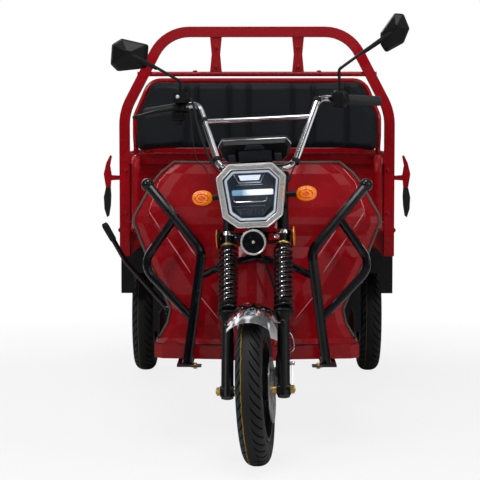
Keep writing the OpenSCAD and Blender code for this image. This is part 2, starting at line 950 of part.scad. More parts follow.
module horn() {
    hang = min(yoke_low - 24, lamp_up - 148);
    place = fork_point(0, -83, hang);
    deep = 40;
    rim = 5;
    color(steel)
        union() {
            turned()
                translate(place + [0, deep / 2, 0])
                    rotate([90, 0, 0])
                        rotate_extrude()
                            polygon([[0, 0], [horn_d / 2 - 10, 0], [horn_d / 2, 14], [horn_d / 2, deep],
                                     [horn_d / 2 - rim, deep], [horn_d / 2 - rim - 2, deep - 10],
                                     [12, deep - 14], [6, deep - 4], [0, deep - 4]]);
            in_fork() {
                block([-12, -76, hang + 28], [12, -yoke_front - seat_gap, hang + 33]);
                block([-12, -yoke_front - seat_gap - 5, hang + 28],
                      [12, -yoke_front - seat_gap, yoke_low + 9]);
            }
        }
}

// Brake hose and the lead of the right turn signal, each along its own route
HOSE = [[-218, 497, 1120], [-208, 478, 1088], [-200, 452, 1050], [-182, 410, 1000], [-160, 362, 948],
        [-136, 316, 909], [-104, 284, 872], [-60, 262, 862], [0, 250, 850], [40, 252, 800], [24, 232, 730],
        [20, 198, 690], [14, 196, 640], [30, 200, 590], [46, 196, 545], [60, 186, 490], [71, 182, 440],
        [75, 150, 380], [71, 132, 345]];
LEAD = [[-222, 470, 1086], [-215, 435, 1030], [-205, 392, 965], [-189, 345, 920], [-160, 310, 900],
        [-140, 282, 872], [-126, 262, 836]];
hose_r = 4;
lead_r = 1.6;

// The routes are drawn for a fork of 722, and with a longer one rise, the more the nearer to the handlebar
function routed(p) = behind(p.x, p.y, p.z)
    + (fork_l - 722) * lookup(p.z, [[640, 0], [720, 0.5], [850, 0.5], [950, 1]])
      * [0, sin(rake), cos(rake)];

module cables() {
    lead_way = -flipped(bar_way);
    lead_side = unit([lead_way.y, -lead_way.x, 0]) * (bar_d / 2 + 2 * lead_r);
    lead_root = right_in + lead_way * seat_gap + lead_side;
    hose_root = reservoir_low + [reservoir.x + seat_gap, reservoir.y / 4, reservoir.z / 3];
    lead_end = [-118, signal_place.y, signal_place.z] + (9 + seat_gap + 0.3) * unit([0, 1, 1]);
    color(rubber)
        turned() {
            pipe(concat([hose_root, hose_root + [10, 0, 0]],
                        [for (p = HOSE) routed(p)],
                        [fork_point(58, caliper_v + 34, caliper_w + 60),
                         fork_point(58, caliper_v + 34, caliper_w + 26 + seat_gap)]), hose_r, 8);
            pipe(concat([lead_root, lead_root + lead_way * 12],
                        [for (p = LEAD) routed(p)], [lead_end]), lead_r, 6);
        }
}

// Leg shield and front of the body
// Columns: share of the height, share of the half width, depth of the nose behind the front axle
SHIELD = [[0, 0.83, 300], [0.031, 0.782, 301], [0.107, 0.719, 303], [0.186, 0.692, 304],
          [0.272, 0.744, 312], [0.478, 0.89, 340], [0.666, 1, 378], [0.705, 0.995, 388],
          [0.883, 0.855, 433], [0.945, 0.782, 449], [1, 0.682, 474]];
SHIELD_ROWS = [0, 0.031, 0.07, 0.107, 0.186, 0.272, 0.34, 0.41, 0.478, 0.54, 0.6, 0.666, 0.705,
               0.76, 0.82, 0.883, 0.945, 1];

function shield_share(z) = (z - shield_foot) / shield_h;
function shield_edge(z) = lookup(shield_share(z), [for (s = SHIELD) [s[0], s[1]]]) * shield_w / 2;
function shield_nose(z) = lookup(shield_share(z), [for (s = SHIELD) [s[0], s[2]]]);
function nose_round(z) = lookup(shield_share(z), [[0, 18], [0.03, 30], [0.55, 30], [0.75, 0]]);
function inner_crease(z) = limited(257 + 0.64 * (z - 684), nose_w + 20, shield_edge(z) - 70);
function outer_crease(z) = limited(362 + 0.649 * (z - 740), inner_crease(z) + 20, shield_edge(z) - 32);

// Front face of the shield behind the front axle, at x from the middle
function shield_back(x, z) =
    let (a = inner_crease(z), b = outer_crease(z), edge = shield_edge(z), near = min(x / nose_w, 1))
    shield_nose(z)
    + nose_round(z) * (1 - sqrt(1 - near * near))
    + wing_slope * max(0, x - nose_w)
    + shield_step * limited((x - a) / (b - a), 0, 1)
    + shield_rim_deep * limited((x - edge + shield_rim_w) / shield_rim_w, 0, 1);

function shield_columns(z) =
    let (edge = shield_edge(z))
    let (half = [32, 58, nose_w, inner_crease(z), outer_crease(z), edge - shield_rim_w, edge])
    concat([for (k = [len(half) - 1:-1:0]) -half[k]], [0], half);

function shield_row(z, deeper) = [for (x = shield_columns(z)) behind(x, shield_back(abs(x), z) + deeper, z)];

module leg_shield() {
    slot_w = 62;
    color(red)
        difference() {
            sheet([for (s = SHIELD_ROWS) shield_row(shield_foot + s * shield_h, 0)],
                  [for (s = SHIELD_ROWS) shield_row(shield_foot + s * shield_h, shield_t)]);
            block(behind(-slot_w / 2, 300, 640), behind(slot_w / 2, 500, 768));
        }
}

// Rubber edge round the shield, set just outside its sides and top
module shield_trim() {
    heights = [for (k = [1:len(SHIELD_ROWS) - 1]) shield_foot + SHIELD_ROWS[k] * shield_h];
    last = len(heights) - 1;
    rise = [for (z = heights) behind(shield_edge(z), shield_back(shield_edge(z), z) + shield_t / 2, z)];
    head = shield_row(shield_top, shield_t / 2);
    loop = concat([for (k = [0:last]) flipped(rise[k])],
                  [for (j = [1:len(head) - 2]) head[j]],
                  [for (k = [last:-1:0]) rise[k]]);
    path = [for (i = [0:len(loop) - 1])
        let (a = unit([loop[i].x - loop[max(i - 1, 0)].x, loop[i].z - loop[max(i - 1, 0)].z] + [0, 0.001]))
        let (j = min(i + 1, len(loop) - 1))
        let (b = unit([loop[j].x - loop[i].x, loop[j].z - loop[i].z] + [0, i == 0 ? 0.001 : -0.001]))
        let (n = ([-a.y, a.x] + [-b.y, b.x]) / (1 + a * b) * (trim_r + seat_gap))
        loop[i] + [n.x, 0, n.y]];
    color(rubber)
        pipe(path, trim_r, 8);
}

apron_t = 4;
apron_low = floor_rail_low + 5;

module apron() {
    z = shield_foot;
    side = [for (x = shield_columns(z)) if (x >= 0) [x, front_y + shield_back(x, z)]];
    last = side[len(side) - 1];
    line = concat(side, [[last.x + 2, last.y + 60], [last.x + 2, last.y + 160]]);
    whole = concat([for (k = [len(line) - 1:-1:1]) [-line[k].x, line[k].y]], line);
    color(red)
        translate([0, 0, apron_low])
            linear_extrude(shield_foot - seat_gap - apron_low)
                polygon(strip([for (p = whole) p + [0, apron_t / 2]], apron_t));
}

floor_rear = bed_front - 55;
floor_half = 322;
floor_front_gap = 4;

module floor_plate() {
    z = floor_z - floor_t / 2;
    rib_pitch = 60;
    cheek_front = front_y + 420;
    cheek_rear = seat_front - 91;
    knee = cheek_front + (cheek_rear - cheek_front) * 8 / 17;
    cheek = [[cheek_front, floor_z - 1], [cheek_front + 4, floor_z + 84], [knee, floor_z + 84],
             [cheek_rear, floor_z + 12], [cheek_rear, floor_z - 1]];
    front = [for (x = shield_columns(z)) if (abs(x) < floor_half)
        [x, front_y + shield_back(abs(x), z) + shield_t + floor_front_gap]];
    color(black)
        difference() {
            union() {
                translate([0, 0, floor_low])
                    linear_extrude(floor_t)
                        polygon(concat(front, [[floor_half, front_y + 420], [floor_half, floor_rear],
                                               [-floor_half, floor_rear], [-floor_half, front_y + 420]]));
                for (k = [-3:3])
                    block([k * rib_pitch - 6, front_y + 500, floor_z - 1],
                          [k * rib_pitch + 6, seat_front - 30, floor_z + 3]);
                both_sides()
                    translate([floor_half - 2.5, 0, 0])
                        along_x(5)
                            polygon(cheek);
            }
            translate(behind(0, neck_foot_back, floor_low - 1))
                cylinder(r = 26, h = floor_t + 6);
        }
}

// Crash bar: a tube each side from its ball end by the shield's corner down to the floor rail
crash_ball = behind(353, 395, 836);
crash_elbow = behind(174, 290, 628);
crash_foot = behind(222, 275, floor_rail_low - 4);
crash_path = rounded_path([crash_ball, crash_elbow, crash_foot], 60, 6);
ball_r = crash_d / 2 + 4;

module crash_bar() {
    arch_end = crash_elbow + (crash_foot - crash_elbow) * 0.225;
    arch = [arch_end, behind(100, 312, 585), behind(0, 325, 608)];
    color(black)
        union() {
            both_sides() {
                pipe(crash_path, crash_d / 2, 12);
                translate(crash_ball)
                    sphere(ball_r, $fn = 32);
                block(behind(204, 254, floor_rail_low - 8), behind(254, 490, floor_rail_low));
            }
            pipe(rounded_path(concat(arch, [flipped(arch[1]), flipped(arch[0])]), 50, 4), 12, 10);
        }
}

module crash_loops() {
    top = (crash_ball + crash_elbow) / 2;
    low = crash_elbow + (crash_foot - crash_elbow) * 0.6;
    color(black)
        both_sides()
            difference() {
                pipe(rounded_path([top, behind(370, 330, 580), low], 60, 6), crash_loop_d / 2, 12);
                pipe(crash_path, crash_d / 2 + seat_gap, 12);
            }
}

// Seat

seat_rear = bed_front - 60;
seat_front = seat_rear - 350;
seat_top = floor_z + seat_box_h;

module seat_box() {
    wall = 4;
    lip = 80;
    half = seat_box_w / 2;
    color(red)
        difference() {
            union() {
                block([-half, seat_front, floor_z], [half, seat_rear, seat_top]);
                block([-half - lip, seat_front - 5, seat_top - 22], [half + lip, seat_rear, seat_top]);
            }
            block([-half + wall, seat_front + wall, floor_z - 1],
                  [half - wall, seat_rear - wall, seat_top - 26]);
            block([-half - lip + wall, seat_front - 5 + wall, seat_top - 27],
                  [half + lip - wall, seat_rear - wall, seat_top - wall]);
        }
}

module battery_pack() {
    color("#2f4f7a")
        block([-230, seat_front + 40, floor_z], [230, seat_rear - 40, floor_z + 210]);
}

module seat_cushion() {
    low = seat_top + seat_gap;
    nose = seat_front - 18;
    tail = nose + seat_l;
    side = rounded_loop([[nose, low], [tail, low], [tail, low + seat_t - 12], [nose, low + seat_t]], 16, 5);
    color("#202226")
        along_x(seat_w)
            polygon(side);
}

arm_d = 32;

module arm_rails() {
    face = bed_front - hoop_depth;
    front = bed_front - 220;
    plate = bed_front - seat_gap;
    path = [[457, plate, 645], [457, plate - 60, 645], [437, front, 672], [437, front, 905],
            [450, face - 60, 905], [450, face - seat_gap, 905]];
    color(red)
        both_sides()
            pipe(rounded_path(path, [40, 45, 45, 40]), arm_d / 2, 12);
}

hoop_half = bed_half - hoop_tube / 2;

module headboard_hoop() {
    foot_z = sill_low - 25;
    line = rounded_path([[-hoop_half, foot_z], [-hoop_half, 1079], [-340, hoop_z], [340, hoop_z],
                         [hoop_half, 1079], [hoop_half, foot_z]], [195, 145, 145, 195], 8);
    inner = hoop_half - hoop_tube / 2;
    bar_low = board_top - 40;
    thin_z = 1220;
    thin_d = 18;
    bracket_x = 153;
    bracket_low = thin_z + thin_d / 2 - 2;
    bracket_top = hoop_z - hoop_tube / 2 + 1;
    waist = (bracket_low + bracket_top) / 2;
    color(red)
        union() {
            along_y(bed_front - hoop_depth, hoop_depth)
                polygon(strip(line, hoop_tube));
            block([-inner - 2, bed_front - hoop_depth, bar_low], [inner + 2, bed_front, board_top]);
            rod_x(-inner + 30, inner - 30, bed_front - hoop_depth / 2, thin_z, thin_d);
            both_sides() {
                along_y(bed_front - hoop_depth / 2 - 8, 16)
                    polygon([[bracket_x - 22, bracket_low], [bracket_x + 22, bracket_low],
                             [bracket_x + 16, waist], [bracket_x + 22, bracket_top],
                             [bracket_x - 22, bracket_top], [bracket_x - 16, waist]]);
            }
        }
}

// Tube that carries the backrest, rising out of the headboard's bar and leaning forwards
module backrest_tube() {
    tube_y = bed_front - 50;
    root_y = bed_front - hoop_depth / 2;
    back = [[452, root_y, board_top + seat_gap], [452, root_y, board_top + 24],
            [452, tube_y, board_top + 66], [452, tube_y, 1062], [395, tube_y, 1194]];
    color(red)
        pipe(rounded_path(concat(back, [for (k = [4:-1:0]) flipped(back[k])]),
                          [20, 20, 60, 60, 60, 60, 20, 20]), 10, 10);
}

module backrest_pad() {
    rear = bed_front - 60 - seat_gap;
    low = board_top + 17;
    half = back_w / 2;
    outline = rounded_loop([[-half, low], [half, low], [half, low + back_h * 0.5], [half - 62, low + back_h],
                            [62 - half, low + back_h], [-half, low + back_h * 0.5]], 24, 4);
    color("#202226")
        along_y(rear - back_t, back_t)
            polygon(outline);
}

module control_levers() {
    lever_back = 49;
    lever_y = seat_front + lever_back;
    side = -seat_box_w / 2;
    pedal = behind(-150, 520, floor_z + 78);
    color(black) {
        union() {
            pipe(rounded_path([[side - 12, lever_y, 372], [-465, lever_y, 544], [-543, lever_y, 682]], 50),
                 9, 10);
            rod_x(side - 24, side - seat_gap, lever_y, 376, 34);
        }
        union() {
            pipe([behind(-150, 560, floor_z + seat_gap), behind(-150, 560, floor_z + 24), pedal], 8, 8);
            translate(pedal)
                rotate([-35, 0, 0])
                    cube([70, 12, 52], center = true);
        }
    }
}

// Load bed

post_x = bed_half - board_t;
sill_plate_t = 6;
sill_plate_in = 430;
hinge_inset = 170;
board_end_gap = 6;
rear_post = bed_rear - board_t - 5 - post_y;
side_start = bed_front + sill_plate_t + board_end_gap;
side_len = rear_post - board_end_gap - side_start;
side_mid = side_start + side_len / 2;
gate_len = bed_w;
lug_t = 12;
lug_gap = 1;
knuckle_l = 40;

function hinge_places(len) = [-len / 2 + hinge_inset, 0, len / 2 - hinge_inset];

// Place of a board: its length along y about the middle, its outer face at x = 0, its foot at z = 0
module at_board(side) {
    if (side == 0)
        translate([0, bed_rear, board_low])
            rotate([0, 0, 90])
                children();
    else
        translate([side * bed_half, side_mid, board_low])
            mirror([side < 0 ? 1 : 0, 0, 0])
                children();
}

axis_z = hinge_z - board_low;

module drop_board(len) {
    border = 34;
    rib = 30;
    pocket = 8;
    panels = 6;
    pitch = (len - 2 * border + rib) / panels;
    color(red)
        difference() {
            union() {
                block([-board_t, -len / 2, 0], [0, len / 2, board_h]);
                for (y = hinge_places(len)) {
                    block([-1, y - knuckle_l / 2, axis_z], [6, y + knuckle_l / 2, 52]);
                    translate([hinge_out, y, axis_z])
                        rotate([90, 0, 0])
                            cylinder(r = knuckle_r, h = knuckle_l, center = true);
                }
            }
            for (y = hinge_places(len))
                translate([hinge_out, y, axis_z])
                    rotate([90, 0, 0])
                        cylinder(d = hinge_pin_d + 2 * fit, h = knuckle_l + 2, center = true);
            for (k = [0:panels - 1], face = [0, 1])
                translate([face == 0 ? -pocket : -board_t - 1, -len / 2 + border + k * pitch, 76])
                    cube([pocket + 1, pitch - rib, board_h - 76 - border]);
        }
}

module hinge_lugs(len) {
    for (y = hinge_places(len)) {
        for (end = [-1, 1])
            translate([0, y + end * (knuckle_l / 2 + lug_gap + lug_t / 2), 0]) {
                translate([hinge_out, 0, axis_z])
                    rotate([90, 0, 0])
                        cylinder(r = knuckle_r, h = lug_t, center = true);
                block([-2, -lug_t / 2, axis_z - knuckle_r], [hinge_out, lug_t / 2, axis_z - 1]);
            }
        translate([hinge_out, y, axis_z])
            rotate([90, 0, 0])
                cylinder(d = hinge_pin_d, h = knuckle_l + 2 * lug_gap + 2 * lug_t, center = true);
    }
}

module side_board_left() {
    at_board(1)
        drop_board(side_len);
}

module side_board_right() {
    at_board(-1)
        drop_board(side_len);
}

module tailgate() {
    at_board(0)
        drop_board(gate_len);
}

module bed_sills() {
    plate = [[bed_half, sill_low - 28], [bed_half, sill_top + 40], [sill_plate_in, sill_top + 40],
             [sill_plate_in, sill_low + 24], [sill_plate_in + 46, sill_low - 28]];
    color(red)
        for (side = [-1, 1])
            union() {
                mirror([side < 0 ? 1 : 0, 0, 0]) {
                    block([bed_half - sill_w, bed_front, sill_low], [bed_half, bed_rear, sill_top]);
                    along_y(bed_front, sill_plate_t)
                        polygon(plate);
                    block([post_x, rear_post, sill_top - 1], [bed_half, rear_post + post_y, board_top]);
                }
                at_board(side)
                    hinge_lugs(side_len);
            }
}

// Cross bearers under the load floor, each on two feet on the rails
bearer_count = 5;
bearer_w = 50;
first_bearer = 60;
bearer_pitch = (bed_l - first_bearer - bearer_w) / (bearer_count - 1);

function bearer_y(k) = bed_front + first_bearer + k * bearer_pitch;

module bed_bearers() {
    half = bed_half - sill_w;
    last = bearer_count - 1;
    color(red) {
        for (k = [0:last - 1])
            block([-half, bearer_y(k), sill_low], [half, bearer_y(k) + bearer_w, sill_top]);
        union() {
            block([-half, bearer_y(last), sill_low], [half, bed_rear, sill_top]);
            at_board(0)
                hinge_lugs(gate_len);
        }
    }
}

tie_x = 400;
tie_inset = 190;

module bed_floor() {
    half = post_x - 2;
    ridge = 5;
    color("#5b5d61")
        difference() {
            union() {
                block([-half, bed_front + 12, sill_top], [half, bed_rear - board_t - 2, bed_z]);
                for (k = [-4:4])
                    block([k * 90 - 12, bed_front + 40, bed_z - 1],
                          [k * 90 + 12, bed_rear - board_t - 35, bed_z + ridge]);
            }
            for (x = [-tie_x, tie_x], y = [bed_front + tie_inset, bed_rear - tie_inset])
                translate([x, y, sill_top - 1])
                    cylinder(d = tie_hole_d, h = bed_floor_t + 10);
        }
}

module front_panel() {
    inner = hoop_half - hoop_tube / 2;
    ribs = 4;
    low = sill_top + 44;
    pitch = (board_top - low) / ribs;
    color(red)
        union() {
            along_y(bed_front, 10)
                polygon([[-sill_plate_in + 2, bed_z], [sill_plate_in - 2, bed_z], [sill_plate_in - 2, low],
                         [inner, low], [inner, board_top], [-inner, board_top], [-inner, low],
                         [-sill_plate_in + 2, low]]);
            for (k = [0:ribs - 2])
                block([-inner + 30, bed_front - 10, low + k * pitch + 14],
                      [inner - 30, bed_front + 1, low + k * pitch + 46]);
        }
}

// Latch outlines as (outwards from the post, down from the boards' top)
LATCH = [[0, -100], [0, -84], [30, -82], [36, -46], [29, -10], [36, -8], [50, -36], [60, -78],
         [52, -128], [34, -128], [32, -102]];
GRIP = [[34, -128], [52, -128], [60, -164], [58, -208], [48, -240], [40, -234], [34, -196], [32, -160]];
latch_t = 12;

module at_latches() {
    for (y = [bed_front - hoop_depth / 2, rear_post + post_y / 2])
        both_sides()
            translate([bed_half, y - latch_t / 2, board_top])
                along_y(0, latch_t)
                    children();
}

module latches() {
    color(red)
        at_latches()
            polygon(LATCH);
}

module latch_grips() {
    color(rubber)
        at_latches()
            translate([0, -seat_gap])
                polygon(GRIP);
}

module fenders() {
    inner = rail_x + rail_w / 2 + 4;
    reach = 290;
    arch_r = rear_r + 35;
    top = sill_low;
    low = rear_r + 112;
    color(black)
        both_sides() {
            block([inner, rear_y - reach, top - fender_sheet], [mudguard_out, rear_y + reach, top]);
            difference() {
                block([mudguard_out - fender_sheet, rear_y - reach, low],
                      [mudguard_out, rear_y + reach, top - 1]);
                rod_x(mudguard_out - 20, mudguard_out + 20, rear_y, rear_r, 2 * arch_r);
            }
            along_y(rear_y - reach, fender_sheet)
                polygon([[inner, top - 1], [inner, top - 132], [mudguard_out - 52, top - 132],
                         [mudguard_out - 52, low], [mudguard_out - 1, low], [mudguard_out - 1, top - 1]]);
        }
}

module tail_lamps() {
    inner = rail_x + rail_w / 2 + 6;
    tail_lamp_w = 88;
    color("#c01818")
        both_sides()
            block([inner, bed_rear - 40, sill_low - 68], [inner + tail_lamp_w, bed_rear - 4, sill_low]);
}

// Chassis and rear axle

module chassis_rails() {
    kick = bed_front - rail_w;
    color(black)
        both_sides() {
            block([rail_x - rail_w / 2, bed_front, rail_low], [rail_x + rail_w / 2, bed_rear - 10, rail_top]);
            union() {
                block([floor_rail_x - rail_w / 2, front_y + 400, floor_rail_low],
                      [floor_rail_x + rail_w / 2, bed_front, floor_low]);
                block([floor_rail_x - rail_w / 2, kick, floor_low - 1],
                      [floor_rail_x + rail_w / 2, bed_front, rail_low]);
            }
        }
}

// Cross members between the rails, and the feet on the rails that carry the bed's bearers
module cross_members() {
    foot_inset = 10;
    reach = rail_x + rail_w / 2;
    between_rails = rail_x - rail_w / 2;
    floor_between = floor_rail_x - rail_w / 2;
    color(black) {
        block([-reach, bed_front - rail_w, rail_low], [reach, bed_front, rail_top]);
        block([-floor_between, front_y + neck_foot_back - 30, floor_rail_low],
              [floor_between, front_y + neck_foot_back + 30, floor_low]);
        block([-floor_between, seat_front + 60, floor_rail_low],
              [floor_between, seat_front + 100, floor_low]);
        for (y = [rear_y - 430, rear_y + 380, bed_rear - 70])
            block([-between_rails, y, rail_low], [between_rails, y + 50, rail_top]);
        both_sides()
            for (k = [0:bearer_count - 1])
                block([between_rails, bearer_y(k), rail_top],
                      [reach, bearer_y(k) + bearer_w - foot_inset, sill_low]);
    }
}

// Leaf springs hang under the axle tube, curving up to their eyes
spring_top = rear_r - axle_tube_d / 2;
leaf_half = 400;
leaf_bow = 46;
leaf_r = (leaf_half * leaf_half + leaf_bow * leaf_bow) / (2 * leaf_bow);
eye_pin_d = 14;
eye_r = eye_pin_d / 2 + 7;
eye_z = spring_top + leaf_bow + eye_r - leaf_t / 2;

module leaf_springs() {
    steps = 12;
    centre_z = spring_top + leaf_r;
    reach = [for (k = [0:leaf_count - 1]) asin((leaf_half - 64 * k) / leaf_r)];
    last = leaf_count - 1;
    right = [for (k = [last:-1:0])
        each [[leaf_r + (k + 1) * leaf_t, reach[k]], [leaf_r + k * leaf_t, reach[k]]]];
    top = [for (k = [1:2 * steps - 1]) [leaf_r, reach[0] * (1 - k / steps)]];
    left = [for (k = [len(right) - 1:-1:0]) [right[k].x, -right[k].y]];
    foot = [for (k = [1:2 * steps - 1]) [leaf_r + leaf_count * leaf_t, -reach[last] * (1 - k / steps)]];
    color("#3a3a3e")
        both_sides()
            difference() {
                union() {
                    translate([rail_x, 0, 0])
                        along_x(leaf_w)
                            polygon([for (p = concat(right, top, left, foot))
                                [rear_y + p.x * sin(p.y), centre_z - p.x * cos(p.y)]]);
                    for (end = [-1, 1])
                        rod_x(rail_x - leaf_w / 2, rail_x + leaf_w / 2, rear_y + end * leaf_half, eye_z,
                              2 * eye_r);
                }
                for (end = [-1, 1])
                    rod_x(rail_x - leaf_w, rail_x + leaf_w, rear_y + end * leaf_half, eye_z,
                          eye_pin_d + 2 * fit);
            }
}

module spring_hangers() {
    plate = 6;
    inner = rail_x - leaf_w / 2 - 1;
    outer = rail_x + leaf_w / 2 + 1;
    color(red)
        both_sides()
            for (end = [-1, 1])
                let (y = rear_y + end * leaf_half)
                union() {
                    for (x = [inner - plate, outer])
                        translate([x + plate / 2, 0, 0])
                            along_x(plate)
                                polygon([[y - 40, rail_low], [y + 40, rail_low], [y + eye_r + 3, eye_z],
                                         [y + 10, eye_z - eye_r - 3], [y - 10, eye_z - eye_r - 3],
                                         [y - eye_r - 3, eye_z]]);
                    block([inner - 1, y - 40, rail_low - 14], [outer + 1, y + 40, rail_low]);
                    rod_x(inner - plate - 4, outer + plate + 4, y, eye_z, eye_pin_d);
                }
}

motor_face = 112;

module rear_axle() {
    tube = axle_tube_d / 2;
    plate_in = track / 2 - 62;
    plate_out = track / 2 - 56;
    spindle = spindle_d / 2;
    nut_in = track / 2 + 31;
    spring_foot = spring_top - leaf_count * leaf_t;
    half = [[95, 68], [46, 118], [tube, 128], [tube, plate_in], [80, plate_in], [80, plate_out],
            [spindle, plate_out], [spindle, nut_in + 14], [0, nut_in + 14]];
    section = concat(half, [for (k = [len(half) - 1:-1:0]) [half[k].x, -half[k].y]]);
    color(black)
        translate([0, rear_y, rear_r])
            union() {
                revolved_x(section);
                translate([0, -motor_face, 0])
                    rotate([-90, 0, 0])
                        cylinder(r = 62, h = motor_face);
                both_sides() {
                    rod_x(nut_in, nut_in + 10, 0, 0, spindle_d + 12);
                    for (x = [rail_x - leaf_w / 2 - 7, rail_x + leaf_w / 2 + 7], y = [-tube - 6, tube + 6])
                        translate([x, y, spring_foot - rear_r - 10])
                            cylinder(d = 10, h = rear_r - spring_foot + tube + 14);
                    block([rail_x - leaf_w / 2 - 14, -tube - 14, tube - 3],
                          [rail_x + leaf_w / 2 + 14, tube + 14, tube + 5]);
                    block([rail_x - leaf_w / 2 - 14, -tube - 14, spring_foot - rear_r - 8],
                          [rail_x + leaf_w / 2 + 14, tube + 14, spring_foot - rear_r - seat_gap]);
                }
            }
}

module drive_motor() {
    fins = 7;
    length = 210;
    color("#6d7075")
        translate([0, rear_y - motor_face, rear_r])
            rotate([90, 0, 0])
                union() {
                    cylinder(r = 74, h = length);
                    cylinder(r = 84, h = 14);
                    for (k = [0:fins - 1])
                        translate([0, 0, 34 + k * 22])
                            cylinder(r = 82, h = 8);
                }
}

front_tyre();
front_rim();
brake_disc();
front_axle();
rear_left_rim();
rear_right_rim();
rear_left_tyre();
rear_right_tyre();
fork_sliders();
fork_tubes();
fork_springs();
fork_clamps();
side_reflectors();
front_fender();
brake_caliper();
frame_neck();
handlebar();
grips();
controls();
mirrors();
mirror_glass();
instrument();
headlight_bezel();
headlight_lens();
headlight_shell();
turn_signals();
horn();
cables();
leg_shield();
shield_trim();
apron();
floor_plate();
crash_bar();
crash_loops();
seat_box();
battery_pack();
seat_cushion();
arm_rails();
headboard_hoop();
backrest_tube();
backrest_pad();
control_levers();
side_board_left();
side_board_right();
tailgate();
bed_sills();
bed_bearers();
bed_floor();
front_panel();
latches();
latch_grips();
fenders();
tail_lamps();
chassis_rails();
cross_members();
leaf_springs();
spring_hangers();
rear_axle();
drive_motor();
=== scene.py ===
"""Looks of an electric cargo tricycle: finishes, soft seats, tyres, lamp insides and small fittings."""

import json
import math
from functools import cache

import bmesh
import bpy
from mathutils import Matrix, Vector, noise
from mathutils.bvhtree import BVHTree


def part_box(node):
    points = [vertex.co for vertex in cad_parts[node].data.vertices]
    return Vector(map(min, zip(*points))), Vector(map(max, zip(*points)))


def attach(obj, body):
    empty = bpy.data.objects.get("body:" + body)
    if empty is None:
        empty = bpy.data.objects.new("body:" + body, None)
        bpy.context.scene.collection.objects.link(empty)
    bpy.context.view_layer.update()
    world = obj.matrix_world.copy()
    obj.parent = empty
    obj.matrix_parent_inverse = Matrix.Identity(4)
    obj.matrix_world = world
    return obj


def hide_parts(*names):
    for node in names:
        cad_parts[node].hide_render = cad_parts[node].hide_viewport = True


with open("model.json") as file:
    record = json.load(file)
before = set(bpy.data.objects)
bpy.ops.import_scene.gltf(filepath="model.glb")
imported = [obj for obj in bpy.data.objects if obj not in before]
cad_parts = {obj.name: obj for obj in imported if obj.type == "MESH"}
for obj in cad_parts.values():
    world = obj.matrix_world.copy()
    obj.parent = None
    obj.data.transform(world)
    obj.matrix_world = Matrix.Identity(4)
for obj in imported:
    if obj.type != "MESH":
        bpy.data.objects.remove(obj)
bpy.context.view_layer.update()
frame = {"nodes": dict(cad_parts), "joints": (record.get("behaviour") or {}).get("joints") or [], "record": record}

bl_info = {
    "name": "Cargo tricycle looks",
    "version": (1, 0, 0),
    "blender": (4, 5, 0),
    "location": "3D View > Sidebar > Tricycle",
    "description": "Finishes, seats, tyres, lamps and fittings for a cargo tricycle",
    "category": "Object",
}

JOINTS = {joint["name"]: joint for joint in frame["joints"]}
SLOT_OF = {part["node"]: part["material_slot"] for part in frame["record"]["subparts"]}
MM = 0.001
SCALE_MM = Matrix.Scale(MM, 4)
SIDES = (-1, 1)
ACROSS, BACK, UP = Vector((1, 0, 0)), Vector((0, 1, 0)), Vector((0, 0, 1))


def axes(across, back, up, origin):
    """A frame from its three directions and its origin."""
    made = Matrix((across, back, up)).transposed().to_4x4()
    made.translation = origin
    return made


def steering_frame(across):
    """The fork's frame for a wheel axis: X along that, Y rearwards and Z up along the steering axis."""
    up = Vector(JOINTS["steering_turn"]["axis"]).normalized()
    return axes(across, up.cross(across), up, Vector(JOINTS["steering_turn"]["pos_m"]))


FORK = steering_frame(Vector(JOINTS["front_wheel_spin"]["axis"]).normalized())
FORK_MM = FORK @ SCALE_MM
# From the vehicle with its fork straight ahead to the fork as it rests
TURN = FORK @ steering_frame(ACROSS).inverted()
FRONT_AXLE = TURN.inverted() @ Vector(JOINTS["front_wheel_spin"]["pos_m"])
# From X across, Y up and Z forwards to the vehicle's own axes
UPRIGHT = axes(ACROSS, UP, -BACK, Vector())


def fork_point(x, back, up):
    """A point of the fork, in millimetres in its own frame."""
    return FORK_MM @ Vector((x, back, up))


def turned(x, back, up):
    """A point that turns with the fork, in millimetres: across, behind the front axle and above the ground."""
    return TURN @ Vector((x * MM, FRONT_AXLE.y + back * MM, up * MM))


def front_face(origin):
    """A place on the fork, given as if it stood straight ahead: X across, Y up and Z forwards."""
    return TURN @ Matrix.Translation(origin) @ UPRIGHT


def facing(point, way):
    """A place whose Z axis points along way."""
    return Matrix.Translation(point) @ Vector(way).to_track_quat("Z", "Y").to_matrix().to_4x4()


def points_from(place, node):
    """A node's points in a place's own frame."""
    back = place.inverted()
    return [back @ v.co for v in frame["nodes"][node].data.vertices]


def straight_box(node):
    """Corners of a node of the fork as it would be with the fork straight ahead."""
    points = points_from(TURN, node)
    return [Vector(pick(p[k] for p in points) for k in range(3)) for pick in (min, max)]


@cache
def skin(node):
    """A node's surface, for rays to meet."""
    mesh = frame["nodes"][node].data
    return BVHTree.FromPolygons([v.co for v in mesh.vertices], [p.vertices for p in mesh.polygons])


def strike(node, start, way):
    """The point where a ray first meets a node."""
    spot = skin(node).ray_cast(Vector(start), way)[0]
    if spot is None:
        raise RuntimeError("a ray misses " + node)
    return spot


def mean(points):
    return sum(points, Vector()) / len(points)


def clamp(value, low=0.0, high=1.0):
    return min(max(value, low), high)


def turns(count):
    """Angles of a full turn in equal steps."""
    return [math.tau * k / count for k in range(count)]


# Sizes and colours that a user may change


def colour(name, description, default):
    return bpy.props.FloatVectorProperty(name=name, description=description, default=default, subtype="COLOR",
                                         size=3, min=0.0, max=1.0)


def length(name, description, default):
    return bpy.props.FloatProperty(name=name, description=description, default=default, unit="LENGTH", min=0.0,
                                   precision=4)


